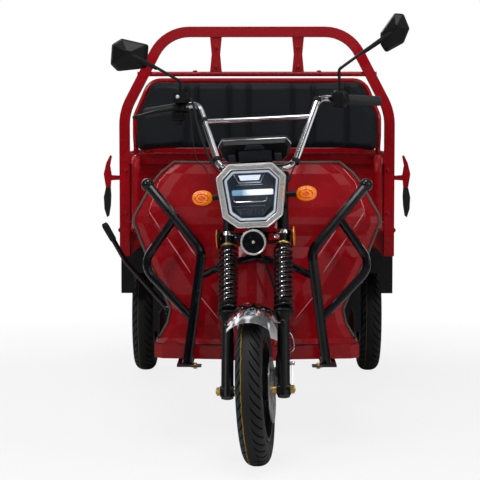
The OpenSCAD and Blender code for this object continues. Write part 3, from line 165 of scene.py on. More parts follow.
class TricycleColours(bpy.types.PropertyGroup):
    """Colours of the tricycle's finishes."""

    red: colour("Red", "Candy red of the panels where light falls on it", (0.42, 0.003, 0.010))
    red_deep: colour("Deep red", "Red paint where it lies in shade", (0.30, 0.001, 0.005))
    black: colour("Black", "Gloss black of the tubes", (0.004, 0.004, 0.006))
    chrome: colour("Chrome", "Plating of the handlebar, mudguard and fork tubes", (0.72, 0.72, 0.75))
    plastic: colour("Black plastic", "Moulded housings", (0.005, 0.005, 0.006))
    rubber: colour("Rubber", "Grips, hoses and mats", (0.010, 0.010, 0.011))
    edging: colour("Edging", "Taupe rubber along the shield's edge", (0.11, 0.10, 0.085))
    tyre: colour("Tyre", "Tyre rubber", (0.009, 0.009, 0.010))
    tyre_line: colour("Tyre line", "Yellow line painted round the tread", (0.62, 0.40, 0.02))
    tyre_band: colour("Tyre band", "Faint blue band beside the line", (0.012, 0.045, 0.075))
    vinyl: colour("Vinyl", "Seat and backrest covers", (0.005, 0.007, 0.010))
    silver: colour("Silver", "Champagne silver of the lamp's surround", (0.70, 0.69, 0.67))
    crease: colour("Crease", "Red where a pressed crease catches the light", (0.90, 0.30, 0.32))
    amber_deep: colour("Deep amber", "Bulb and inner ring of the turn signals", (0.70, 0.085, 0.0))
    brass: colour("Zinc gold", "Gold passivated nuts and spacers", (0.62, 0.42, 0.12))
    steel: colour("Steel", "Bare and brushed steel", (0.52, 0.52, 0.54))
    cast: colour("Cast alloy", "Motor and caliper castings", (0.36, 0.37, 0.39))
    deck: colour("Deck", "Painted load floor", (0.13, 0.135, 0.14))
    case: colour("Battery case", "Battery pack's case", (0.045, 0.085, 0.16))
    amber: colour("Amber", "Turn signals and reflectors", (1.0, 0.25, 0.002))
    red_lens: colour("Red lens", "Tail lamps", (0.50, 0.008, 0.008))
    light: colour("Lamp light", "Bluish white of the headlight's lit parts", (0.80, 0.90, 1.0))
    dust: colour("Dust", "Fine road dust", (0.22, 0.20, 0.18))


class TricycleSizes(bpy.types.PropertyGroup):
    """Sizes of the pieces added to the frame."""

    groove: length("Tread groove", "Depth of the tyres' grooves", 0.0045)
    swell: length("Swell", "How far a cushion's cover may swell", 0.012)
    seam: length("Seam", "Depth of the sewn channels", 0.009)
    voxel: length("Cushion grain", "Grid on which the cushions are remeshed", 0.006)
    bolt: length("Bolt", "Width of the plain bolt heads", 0.013)
    tie: length("Cable tie", "Width of the bands round the handlebar", 0.014)


class TricycleStage(bpy.types.PropertyGroup):
    """Camera, floor and light."""

    ahead: length("Camera ahead", "How far the camera stands ahead of the front axle", 5.0)
    height: length("Camera height", "Height of the camera above the floor", 1.025)
    lens: bpy.props.FloatProperty(name="Lens", description="Focal length in millimetres", default=125.0,
                                  min=20.0, max=300.0, unit="CAMERA")
    pitch: bpy.props.FloatProperty(name="Pitch", description="How far the camera looks down",
                                   default=math.radians(3.9), subtype="ANGLE")
    yaw: bpy.props.FloatProperty(name="Yaw", description="How far the camera looks to the left",
                                 default=math.radians(0.58), subtype="ANGLE")
    floor: colour("Floor", "Pale studio floor", (0.86, 0.86, 0.86))


# Shader maths


class Val:
    """A shader socket that takes part in Python sums, each of which adds a Math node."""

    def __init__(self, coat, socket):
        self.coat = coat
        self.socket = socket

    def _math(self, operation, first, second=0.0):
        return self.coat.node("ShaderNodeMath", {"operation": operation}, {0: first, 1: second})

    def __add__(self, other):
        return self._math("ADD", self, other)

    def __radd__(self, other):
        return self._math("ADD", other, self)

    def __sub__(self, other):
        return self._math("SUBTRACT", self, other)

    def __rsub__(self, other):
        return self._math("SUBTRACT", other, self)

    def __mul__(self, other):
        return self._math("MULTIPLY", self, other)

    def __rmul__(self, other):
        return self._math("MULTIPLY", other, self)

    def __lt__(self, other):
        return self._math("LESS_THAN", self, other)

    def __gt__(self, other):
        return self._math("GREATER_THAN", self, other)

    def __abs__(self):
        return self._math("ABSOLUTE", self)


class Coat:
    """A material in the making, or the world: its shader and the nodes that feed it."""

    def __init__(self, name, world=None):
        self.owner = bpy.data.materials.new(name) if world is None else world
        self.owner.use_nodes = True
        self.tree = self.owner.node_tree
        self.shader = self.tree.nodes["Principled BSDF" if world is None else "Background"]

    def node(self, kind, settings=None, sockets=None, output=0):
        """Adds a node of a kind, with its settings first and then the values or links of its sockets."""
        made = self.tree.nodes.new(kind)
        for key, value in (settings or {}).items():
            setattr(made, key, value)
        for key, value in (sockets or {}).items():
            self.feed(made.inputs[key], value)
        return Val(self, made.outputs[output])

    def feed(self, socket, value):
        if isinstance(value, Val):
            self.tree.links.new(value.socket, socket)
        elif hasattr(value, "__len__") and len(value) == 3 and socket.type == "RGBA":
            socket.default_value = (*value, 1.0)
        else:
            socket.default_value = value

    def set(self, sockets):
        """Sets or links the shader's own sockets, and gives the finished material back."""
        for key, value in sockets.items():
            self.feed(self.shader.inputs[key], value)
        return self.owner

    def place(self, output="Object"):
        return self.node("ShaderNodeTexCoord", output=output)

    def across(self, axis, output="Object"):
        """One coordinate of the surface point."""
        return self.node("ShaderNodeSeparateXYZ", sockets={0: self.place(output)}, output="XYZ".index(axis))

    def ray(self, kind):
        """Whether the light's path is of a kind."""
        return self.node("ShaderNodeLightPath", output=f"Is {kind} Ray")

    def noise(self, scale, detail=3.0, stretch=None, output="Object"):
        at = self.place(output)
        if stretch:
            at = self.node("ShaderNodeVectorMath", {"operation": "MULTIPLY"}, {0: at, 1: stretch})
        return self.node("ShaderNodeTexNoise", sockets={"Vector": at, "Scale": scale, "Detail": detail})

    def cells(self, scale):
        return self.node("ShaderNodeTexVoronoi", sockets={"Vector": self.place(), "Scale": scale})

    def waves(self, way, scale, distortion=0.0):
        return self.node("ShaderNodeTexWave", {"bands_direction": way},
                         {"Vector": self.place(), "Scale": scale, "Distortion": distortion})

    def spread(self, value, low, high, to_low=0.0, to_high=1.0):
        """Stretches a stretch of a value's range, and holds it at both ends."""
        return self.node("ShaderNodeMapRange", {"clamp": True},
                         {0: value, 1: low, 2: high, 3: to_low, 4: to_high})

    def mix(self, share, first, second):
        """A colour between two others."""
        return self.node("ShaderNodeMix", {"data_type": "RGBA"}, {0: share, 6: first, 7: second}, output=2)

    def bump(self, height, depth, strength=1.0, edge=0.0):
        """Relief of a height pattern, depth metres deep, on edges rounded by edge metres."""
        sockets = {"Height": height, "Distance": depth, "Strength": strength}
        if edge:
            sockets["Normal"] = self.node("ShaderNodeBevel", {"samples": 4}, {"Radius": edge})
        return self.node("ShaderNodeBump", sockets=sockets)


# Finishes, one for each slot of the frame, and a few for the pieces added here


def shade(tint, share):
    """A colour made darker or paler."""
    return tuple(min(1.0, share * x) for x in tint)


def lacquer(name, lit, deep, dust, gloss, peel=0.00012, edge=0.0022, clear=0.32):
    """Sprayed gloss paint: broad clouds of painted light and shade, a film of dust and a little orange peel."""
    coat = Coat(name)
    # Painted light and shade: noise clouds blend the lit colour with its shaded copy
    lit_and_shaded_clouds = coat.mix(coat.spread(coat.noise(1.7, 2), 0.35, 0.65), deep, lit)
    film = coat.spread(coat.noise(26, 6), 0.5, 0.8)
    return coat.set({
        "Base Color": coat.mix(film * 0.02, lit_and_shaded_clouds, dust),
        "Roughness": gloss + film * 0.06,
        "Normal": coat.bump(coat.noise(260, 2), peel, 0.5, edge),
        "Specular IOR Level": 0.12,
        "Coat Weight": clear,
        "Coat Roughness": 0.06,
    })


def deck_steel(c):
    coat = Coat("deck_steel")
    scuff = coat.spread(coat.noise(9, 8, (1, 0.25, 1)), 0.48, 0.7)
    return coat.set({
        "Base Color": coat.mix(scuff * 0.5, c.deck, (0.24, 0.235, 0.225)),
        "Roughness": 0.42 + scuff * 0.25,
        "Normal": coat.bump(coat.noise(180, 4), 0.0003, 0.6, 0.0015),
    })


def plated(name, tint, rough, smear, metal=1.0):
    """Plated or polished metal, with faint smears and pin marks."""
    coat = Coat(name)
    wipe = coat.spread(coat.noise(14, 5, (1, 1, 0.35)), 0.4, 0.75)
    return coat.set({
        "Base Color": coat.mix(wipe * 0.35, tint, shade(tint, 0.72)),
        "Metallic": metal,
        "Roughness": rough + wipe * smear,
        "Normal": coat.bump(coat.noise(420, 2), 0.00004, 0.35, 0.0008),
    })


def motor_cast(c):
    coat = Coat("cast_alloy")
    grain = coat.noise(240, 4)
    return coat.set({
        "Base Color": coat.mix(coat.noise(30, 5), c.cast, shade(c.cast, 0.7)),
        "Metallic": 0.85,
        "Roughness": 0.4 + grain * 0.2,
        "Normal": coat.bump(grain, 0.0004, 0.6, 0.001),
    })


def silver_trim(c):
    """Champagne silver, brushed along the surround."""
    coat = Coat("silver_trim")
    brush = coat.noise(60, 4, (1, 1, 14))
    return coat.set({
        "Base Color": coat.mix(brush * 0.35, c.silver, shade(c.silver, 0.7)),
        "Metallic": 0.5,
        "Roughness": 0.2 + brush * 0.18,
        "Normal": coat.bump(brush, 0.00006, 0.5, 0.002),
    })


def moulded(name, tint, rough, grain=420, depth=0.00016):
    """Moulded plastic or rubber with a fine spark-eroded grain."""
    coat = Coat(name)
    fine = coat.noise(grain, 3)
    wear = coat.spread(coat.noise(19, 5), 0.5, 0.78)
    return coat.set({
        "Base Color": coat.mix(wear * 0.4, tint, shade(tint, 2.2)),
        "Roughness": rough + fine * 0.14,
        "Normal": coat.bump(fine, depth, 0.7, 0.0012),
        "Specular IOR Level": 0.22,
    })


def grip_rubber(c):
    """Grip rubber with a moulded pattern of scales."""
    coat = Coat("grip_rubber")
    scales = coat.cells(150)
    return coat.set({
        "Base Color": coat.mix(coat.spread(scales, 0.2, 0.7), c.rubber, shade(c.rubber, 1.7)),
        "Roughness": 0.5 + scales * 0.2,
        "Normal": coat.bump(scales, 0.0014, 0.9),
    })


def tyre(c, name="tyre", line_strength=0.85):
    """Dusty tyre rubber with a painted line, dimmed on the rear tyres as painted shade, and a band round the
    tread.
    """
    coat = Coat(name)
    x = coat.across("X")
    ripple = coat.noise(22, 3) * 0.006
    line = (abs(x + 0.016 + ripple) < 0.0016) * line_strength
    band = (abs(x + 0.029) < 0.005) * 0.6
    worn = coat.spread(coat.noise(16, 6), 0.4, 0.8)
    base = coat.mix(band, coat.mix(worn * 0.06, c.tyre, c.dust), c.tyre_band)
    return coat.set({
        "Base Color": coat.mix(line, base, c.tyre_line),
        "Roughness": 0.55 + worn * 0.25,
        "Normal": coat.bump(coat.noise(420, 4), 0.0003, 0.6),
        "Specular IOR Level": 0.3,
    })


def vinyl(c, name="vinyl", threads=()):
    """Coated fabric with a fine weave, paler where it is rubbed and darkened along upright seams as painted shade
    in their channels.
    """
    coat = Coat(name)
    weave = coat.waves("X", 170, 0.6) * coat.waves("Z", 170, 0.6)
    rub = coat.spread(coat.noise(7, 5), 0.45, 0.8)
    base = coat.mix(rub * 0.3, c.vinyl, shade(c.vinyl, 1.9))
    for thread in threads:
        # Painted shade: the colour goes near black along each sewn channel
        seam = coat.spread(abs(coat.across("X") - thread * MM), 0.002, 0.007, 0.85, 0.0)
        base = coat.mix(seam, base, (0.001, 0.001, 0.0012))
    return coat.set({
        "Base Color": base,
        "Roughness": 0.50 + rub * 0.15,
        "Normal": coat.bump(weave + coat.noise(90, 4) * 0.6, 0.0005, 0.7),
        "Specular IOR Level": 0.22,
    })


def lens(name, tint, glow):
    """Coloured lens plastic with a pressed pattern of facets behind a smooth face, and a painted glow as though
    lit from within.
    """
    coat = Coat(name)
    facets = coat.cells(260)
    pressed = coat.spread(facets, 0.2, 0.9)
    return coat.set({
        "Base Color": coat.mix(pressed * 0.6, tint, shade(tint, 0.5)),
        "Roughness": 0.08 + facets * 0.12,
        "Normal": coat.bump(facets, 0.0006, 0.7),
        # Painted glow: the unlit lenses and reflectors shine faintly in their own colour
        "Emission Color": coat.mix(pressed, tint, shade(tint, 0.35)),
        "Emission Strength": glow,
        "Coat Weight": 0.5,
        "Coat Roughness": 0.03,
    })


def clear_lens(c):
    """Clear lamp cover, faintly tinted, with clouds of dust."""
    coat = Coat("clear_lens")
    film = coat.noise(40, 5)
    return coat.set({
        "Base Color": coat.mix(film, (0.03, 0.04, 0.05), (0.06, 0.07, 0.08)),
        "Roughness": 0.02 + film * 0.03,
        "Alpha": 0.05 + film * 0.03,
    })


def lamp_plastic(name, grain, base, rough, light, glow):
    """Pale plastic of the headlight, clouded; base and light are pairs of a bright and a dim colour."""
    coat = Coat(name)
    cloud = coat.spread(coat.noise(grain, 3), 0.3, 0.7)
    return coat.set({
        "Base Color": coat.mix(cloud, *base),
        "Roughness": rough + cloud * 0.1,
        "Emission Color": coat.mix(cloud, *light),
        "Emission Strength": glow,
    })


def beam(c):
    """Projector bar: dim blue at its right-hand end, white where the lamp shows through."""
    coat = Coat("lamp_beam")
    glow = coat.spread(coat.across("X"), -0.03, 0.0)
    rib = coat.waves("X", 26)
    white = coat.mix(rib * 0.35, (1.0, 1.0, 1.0), (0.55, 0.8, 1.0))
    return coat.set({
        "Base Color": coat.mix(glow, (0.10, 0.26, 0.42), white),
        "Roughness": 0.1 + rib * 0.1,
        "Emission Color": coat.mix(glow, (0.16, 0.3, 0.45), white),
        "Emission Strength": 0.9,
    })


FINISHES = {
    "red_paint": lambda c: lacquer("red_paint", c.red, c.red_deep, c.dust, 0.26),
    # Pale red of the strands along the shield's creases: painted highlights
    "crease_highlight_paint": lambda c: lacquer("crease_highlight_paint", c.crease, c.crease, c.dust, 0.22),
    "black_paint": lambda c: lacquer("black_paint", c.black, c.black, c.dust, 0.16, 0.00008, 0.0012, 0.5),
    "spring_steel": lambda c: lacquer("spring_steel", (0.006, 0.006, 0.007), (0.004, 0.004, 0.005),
                                      c.dust, 0.3, 0.0003, 0.001),
    "chrome": lambda c: plated("chrome", c.chrome, 0.05, 0.08),
    "brass": lambda c: plated("zinc_gold", c.brass, 0.26, 0.2),
    "disc_steel": lambda c: plated("disc_steel", c.steel, 0.24, 0.16),
    "mirror_glass": lambda c: plated("mirror_glass", (0.86, 0.89, 0.92), 0.015, 0.02),
    "bright": lambda c: plated("bright_edges", (0.86, 0.86, 0.88), 0.25, 0.1, 0.25),
    "black_plastic": lambda c: moulded("black_plastic", c.plastic, 0.34),
    "slate": lambda c: moulded("slate_plastic", (0.030, 0.036, 0.046), 0.4),
    "lamp_grey": lambda c: moulded("lamp_grey", (0.075, 0.090, 0.115), 0.3),
    "rubber": lambda c: moulded("rubber", c.rubber, 0.58, 260, 0.0003),
    "cast_black": lambda c: moulded("cast_black", c.plastic, 0.30, 150, 0.0004),
    "battery_case": lambda c: moulded("battery_case", c.case, 0.4),
    "edging": lambda c: moulded("edging", c.edging, 0.62, 340, 0.0002),
    # Near-black groove faces: painted shade in the tyres' grooves
    "tyre_groove_shade": lambda c: moulded("tyre_groove_shade", (0.003, 0.003, 0.003), 0.8),
    "amber_deep": lambda c: lens("amber_deep", c.amber_deep, 0.4),
    "amber_lens": lambda c: lens("amber_lens", c.amber, 0.5),
    "red_lens": lambda c: lens("red_lens", c.red_lens, 0.05),
    "lit": lambda c: lamp_plastic("lamp_light", 70, (c.light, (0.7, 0.78, 0.88)), 0.2,
                                  (c.light, (0.62, 0.74, 0.92)), 0.9),
    "halo": lambda c: lamp_plastic("lamp_halo", 50, ((0.80, 0.84, 0.88), (0.66, 0.72, 0.80)), 0.25,
                                   (c.light, (0.5, 0.6, 0.8)), 0.4),
    "tyre": tyre,
    # The rear tyres' line is dimmed as painted shade
    "rear_tyre_shaded_line": lambda c: tyre(c, "rear_tyre_shaded_line", 0.22),
    "vinyl": vinyl,
    "backrest_vinyl_shaded_seams": lambda c: vinyl(c, "backrest_vinyl_shaded_seams", TRICYCLE_OT_backrest.threads_mm),
    "clear_lens": clear_lens, "silver_trim": silver_trim, "motor_cast": motor_cast, "deck_steel": deck_steel,
    "grip_rubber": grip_rubber, "beam": beam,
}
# Nodes whose finish differs from their slot's plain one
NODE_FINISHES = {"shield_trim": "edging", "grips": "grip_rubber", "fork_sliders": "cast_black"}


@cache
def finish(name):
    """The material of a finish, made at its first use."""
    return FINISHES[name](bpy.context.scene.tricycle_colours)


# Mesh making


def offset(outline, inwards):
    """An outline of (x, y) points, drawn in by a distance."""
    count = len(outline)
    points = [Vector(p) for p in outline]
    area = sum(points[k - 1].cross(points[k]) for k in range(count))
    step = math.copysign(1.0, area) * inwards
    made = []
    for k, p in enumerate(points):
        a = (p - points[k - 1]).normalized()
        b = (points[(k + 1) % count] - p).normalized()
        na, nb = Vector((-a.y, a.x)), Vector((-b.y, b.x))
        made.append(p + (na + nb) * step / (1 + na.dot(nb)))
    return made


def rounded(outline, radius, steps=4):
    """An outline of (x, y) points with its corners turned into arcs."""
    count = len(outline)
    points = [Vector(p) for p in outline]
    made = []
    for k, p in enumerate(points):
        a = (points[k - 1] - p).normalized()
        b = (points[(k + 1) % count] - p).normalized()
        half = a.angle(b) / 2
        reach = radius / math.tan(half)
        centre = p + (a + b).normalized() * radius / math.sin(half)
        start, end = p + a * reach - centre, p + b * reach - centre
        turn = start.angle(end)
        for step in range(steps + 1):
            t = step / steps
            bow = start * math.sin((1 - t) * turn) + end * math.sin(t * turn)
            made.append(centre + bow / math.sin(turn))
    return made


def smooth_path(points, steps=6):
    """A smooth curve through a few points."""
    p = [Vector(q) for q in points]
    p = [2 * p[0] - p[1], *p, 2 * p[-1] - p[-2]]
    made = []
    for k in range(1, len(p) - 2):
        for step in range(steps):
            t = step / steps
            made.append(0.5 * (2 * p[k] + (p[k + 1] - p[k - 1]) * t
                               + (2 * p[k - 1] - 5 * p[k] + 4 * p[k + 1] - p[k + 2]) * t ** 2
                               + (3 * p[k] - p[k - 1] - 3 * p[k + 1] + p[k + 2]) * t ** 3))
    return [*made, p[-2]]


def mirrored(half):
    """A closed outline from its right-hand half."""
    return half + [(-x, y) for x, y in reversed(half)]


class Form:
    """A mesh in the making, in metres, from lofted, turned, swept and extruded shapes."""

    def __init__(self):
        self.bm = bmesh.new()

    def loft(self, rings, closed=False, caps=True):
        """Joins rings of points into one skin; closed joins the last ring to the first."""
        made = [[self.bm.verts.new(p) for p in ring] for ring in rings]
        pairs = list(zip(made, made[1:]))
        if closed:
            pairs.append((made[-1], made[0]))
        for one, two in pairs:
            for k in range(len(one)):
                n = (k + 1) % len(one)
                self.bm.faces.new((one[k], one[n], two[n], two[k]))
        if caps and not closed:
            self.bm.faces.new(made[0][::-1])
            self.bm.faces.new(made[-1])
        return self

    def lathe(self, profile, place, steps=32, closed=False):
        """Turns a profile of (radius, height) points about the place's Z axis."""
        return self.loft([[place @ Vector((r * math.cos(a), r * math.sin(a), h)) for a in turns(steps)]
                          for r, h in profile], closed)

    def ball(self, radius, middle, rows, steps):
        arc = [math.pi * (k / rows - 0.5) for k in range(rows + 1)]
        return self.lathe([(radius * math.cos(a), radius * math.sin(a)) for a in arc], middle, steps)

    def sweep(self, path, radius, sides=8):
        """Sweeps a round section along a path; radius is a number, or one for each point."""
        path = [Vector(p) for p in path]
        radii = radius if hasattr(radius, "__len__") else [radius] * len(path)
        rings, side = [], None
        for k, p in enumerate(path):
            way = (path[min(k + 1, len(path) - 1)] - path[max(k - 1, 0)]).normalized()
            side = way.orthogonal() if side is None else side - way * side.dot(way)
            side.normalize()
            up = way.cross(side)
            rings.append([p + (side * math.cos(a) + up * math.sin(a)) * radii[k] for a in turns(sides)])
        return self.loft(rings)

    def rod(self, loop, radius, place, sides=8):
        """Bends a round rod into a loop about the place's Z axis."""
        rings = []
        for p in loop:
            side = Vector((p.x, p.y, 0)).normalized()
            rings.append([place @ (p + (side * math.cos(a) + UP * math.sin(a)) * radius)
                          for a in turns(sides)])
        return self.loft(rings, closed=True)

    def prism(self, outline, low, high, place, bevel=0.0):
        """Extrudes an outline along the place's Z axis from low to high, with bevelled rims."""
        layers = [(0.0, low), (0.0, high)]
        if bevel:
            layers = [(bevel, low), (0.0, low + bevel), (0.0, high - bevel), (bevel, high)]
        return self.loft([[place @ Vector((p.x, p.y, h)) for p in offset(outline, d)] for d, h in layers])

    def slab(self, low, high, place, bevel=0.0):
        """A block between two corners of the place, with bevelled rims."""
        outline = [(low[0], low[1]), (high[0], low[1]), (high[0], high[1]), (low[0], high[1])]
        return self.prism(outline, low[2], high[2], place, bevel)

    def bolt(self, place, width):
        """A hexagon head on its washer."""
        r = width / 2
        washer = [(0, 0), (1.35, 0), (1.35, 0.16), (1.25, 0.22), (0, 0.22)]
        head = [(0, 0.2), (1, 0.2), (1, 0.85), (0.86, 1), (0, 1)]
        for profile, sides in ((washer, 24), (head, 6)):
            self.lathe([(x * r, up * r) for x, up in profile], place, sides)
        return self

    def mesh(self, name, sharp=35.0):
        """The finished mesh, smooth but for edges sharper than an angle in degrees."""
        bmesh.ops.remove_doubles(self.bm, verts=self.bm.verts, dist=1e-6)
        bmesh.ops.recalc_face_normals(self.bm, faces=self.bm.faces)
        made = bpy.data.meshes.new(name)
        self.bm.to_mesh(made)
        self.bm.free()
        made.shade_smooth()
        made.set_sharp_from_angle(angle=math.radians(sharp))
        return made


def piece(name, form, body, look, slot=None, replaces=(), sharp=35.0, place=None):
    """Puts a form into the scene as a piece that rides on a body; its slot is not used."""
    made = bpy.data.objects.new(name, form.mesh(name, sharp) if isinstance(form, Form) else form)
    bpy.context.scene.collection.objects.link(made)
    if place is not None:
        made.matrix_world = place
    made.data.materials.append(finish(look))
    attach(made, body)
    slot or look
    if replaces:
        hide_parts(*replaces)
    return made


# Steps of the making


class TRICYCLE_OT_finishes(bpy.types.Operator):
    """Gives every piece of the frame its finish"""

    bl_idname = "tricycle.finishes"
    bl_label = "Finishes"

    def execute(self, context):
        for name, obj in frame["nodes"].items():
            obj.data.materials.clear()
            obj.data.materials.append(finish(NODE_FINISHES.get(name, SLOT_OF[name])))
        return {"FINISHED"}


def tread_rows():
    """Places across a tyre from bead to bead, as angles from the crown, close together over the tread."""
    left = [-140, -128, -116, -104, -94, -84, -76, -70, -66, -60, -54, -48, -42, -36, -31, -28]
    line = [-25.5, -24.7, -23.3, -22.5]
    right = [-18, -12, -6, 0, 3, 5, 7, 10, 14, 19, 25, 31, 37, 43, 49, 55, 61, 66, 70, 76, 84, 94, 104, 116,
             128, 140]
    return [math.radians(a) for a in left + line + right]


def tyre_form(radius, rim, width, groove):
    """A tyre about its own X axis: hooked grooves on one side of the tread, slanted ones on the other."""
    # The section is a rounded oval, from whose lowest angle the bead hangs
    pitches, squash, bead = 42, 0.8, math.radians(50)
    deep = math.sin(bead) ** squash
    mid = (rim + deep * radius) / (1 + deep)
    high = radius - mid
    # One pitch of the tread: share of the pitch, and whether a groove lies there
    columns = [(0.0, 0), (0.03, 1), (0.20, 1), (0.23, 0), (0.5, 0), (0.8, 0)]

    def curved(value):
        return math.copysign(abs(value) ** squash, value)

    def lead(angle):
        """How far round the tyre, in pitches, a groove has come at a place across it."""
        a = math.degrees(angle)
        hooked = clamp((a - 4) / 62)
        slanted = clamp((-a - 26) / 42)
        return 1.7 * math.sqrt(hooked) + 1.1 * slanted

    rings, cuts = [], []
    for angle in tread_rows():
        a = math.degrees(angle)
        cut = 5 < a < 63 or -63 < a < -27.5
        cuts.append(cut)
        ring_cut = -25 < a < -23
        ring = []
        for pitch in range(pitches):
            for share, is_groove in columns:
                d = groove if (ring_cut or (cut and is_groove)) else 0.0
                r = mid + high * curved(math.cos(angle)) - d * math.cos(angle)
                x = width / 2 * curved(math.sin(angle)) - d * math.sin(angle)
                turn = math.tau * (pitch + share + lead(angle)) / pitches
                ring.append(Vector((x, r * math.cos(turn), r * math.sin(turn))))
        rings.append(ring)
    form = Form().loft(rings, closed=True)
    form.bm.faces.ensure_lookup_table()
    around = pitches * len(columns)
    # Groove faces take the second, near-black material: painted shade in the grooves
    for row, both in enumerate(zip(cuts, cuts[1:])):
        for k in range(around):
            if all(both) and k % len(columns) < 3:
                form.bm.faces[row * around + k].material_index = 1
    return form


class TRICYCLE_OT_tyres(bpy.types.Operator):
    """Moulds the three tyres with their grooved treads"""

    bl_idname = "tricycle.tyres"
    bl_label = "Tyres"

    wheels = (("front_tyre", "front_wheel_spin", "tyre"), ("rear_left_tyre", "rear_left_spin", "rear_tyre_shaded_line"),
              ("rear_right_tyre", "rear_right_spin", "rear_tyre_shaded_line"))

    def execute(self, context):
        for node, name, look in self.wheels:
            joint = JOINTS[name]
            axis = Vector(joint["axis"]).normalized()
            back = UP.cross(axis).normalized()
            place = axes(axis, back, axis.cross(back), Vector(joint["pos_m"]))
            local = points_from(place, node)
            radii = [math.hypot(p.y, p.z) for p in local]
            width = max(p.x for p in local) - min(p.x for p in local)
            form = tyre_form(max(radii), min(radii), width, context.scene.tricycle_sizes.groove)
            made = piece(node + "_tread", form, joint["child"], look, "tyre", (node,), 30, place)
            # Painted shade for the groove faces
            made.data.materials.append(finish("tyre_groove_shade"))
        return {"FINISHED"}


def swollen(form, name, sizes, keep):
    """Remeshes a form and swells it as a stuffed cover does, by cloth; keep holds points on their seat."""
    obj = bpy.data.objects.new(name, form.mesh(name))
    scene = bpy.context.scene
    scene.collection.objects.link(obj)
    grid = obj.modifiers.new("grid", "REMESH")
    grid.mode = "VOXEL"
    grid.voxel_size = sizes.voxel
    graph = bpy.context.evaluated_depsgraph_get()
    obj.data = bpy.data.meshes.new_from_object(obj.evaluated_get(graph))
    obj.modifiers.clear()
    rest = [v.co.copy() for v in obj.data.vertices]
    first, last, pressure = 1, 20, 4.0
    cloth = obj.modifiers.new("swell", "CLOTH")
    cloth.settings.use_pressure = True
    cloth.settings.uniform_pressure_force = pressure
    cloth.settings.effector_weights.gravity = 0.0
    cloth.point_cache.frame_start = first
    cloth.point_cache.frame_end = last
    for step in range(first, last + 1):
        scene.frame_set(step)
    graph = bpy.context.evaluated_depsgraph_get()
    cover = bpy.data.meshes.new_from_object(obj.evaluated_get(graph))
    obj.modifiers.clear()
    scene.frame_set(first)
    for vertex, start, moved in zip(obj.data.vertices, rest, cover.vertices):
        step = moved.co - start
        vertex.co = start + step * min(1.0, sizes.swell / max(step.length, 1e-9))
    for vertex in obj.data.vertices:
        vertex.co = keep(vertex.co)
    return obj


def upholster(obj, body, node, look):
    """Finishes a swollen cover as a padded piece in place of its plain solid."""
    obj.data.shade_smooth()
    obj.modifiers.new("smooth", "SUBSURF").levels = 1
    obj.modifiers["smooth"].render_levels = 1
    obj.data.materials.clear()
    obj.data.materials.append(finish(look))
    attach(obj, body)
    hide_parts(node)


def channel(distance, width):
    """Depth share of a sewn channel at a distance from its thread."""
    return math.exp(-(distance / width) ** 2)


class TRICYCLE_OT_seat_cushion(bpy.types.Operator):
    """Stuffs the bench cushion"""

    bl_idname = "tricycle.seat_cushion"
    bl_label = "Seat cushion"

    # Places of the sewn channels, as shares of the width
    thread_shares = (0.17, 0.34, 0.5, 0.66, 0.83)
    corner, thread, welt, crumple = 0.035, 0.009, 0.005, 0.0015

    def execute(self, context):
        sizes = context.scene.tricycle_sizes
        low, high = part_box("seat_cushion")
        swell = sizes.swell
        outline = rounded([(low.x + swell, low.y + swell), (high.x - swell, low.y + swell),
                           (high.x - swell, high.y - swell), (low.x + swell, high.y - swell)], self.corner, 5)
        layers = [(0.014, low.z), (0.0, low.z + 0.014), (0.0, high.z - 0.040), (0.006, high.z - 0.026),
                  (0.024, high.z - swell)]
        form = Form().loft([[Vector((p.x, p.y, z)) for p in offset(outline, d)] for d, z in layers])

        def keep(p):
            return Vector((p.x, p.y, clamp(p.z, low.z, high.z)))

        cushion = swollen(form, "bench_cushion", sizes, keep)
        threads = [low.x + (high.x - low.x) * share for share in self.thread_shares]
        crown = high.z - low.z
        for vertex in cushion.data.vertices:
            up = clamp((vertex.co.z - low.z) / crown)
            groove = sum(channel(vertex.co.x - t, self.thread) for t in threads)
            welt = channel(vertex.co.z - (high.z - 0.034), self.welt)
            vertex.co.z -= sizes.seam * groove * up ** 3
            inwards = Vector((vertex.co.x, vertex.co.y - (low.y + high.y) / 2, 0)).normalized()
            vertex.co -= inwards * 0.004 * welt
            vertex.co.z += self.crumple * noise.noise(vertex.co * 14) * up
        upholster(cushion, "chassis", "seat_cushion", "vinyl")
        return {"FINISHED"}


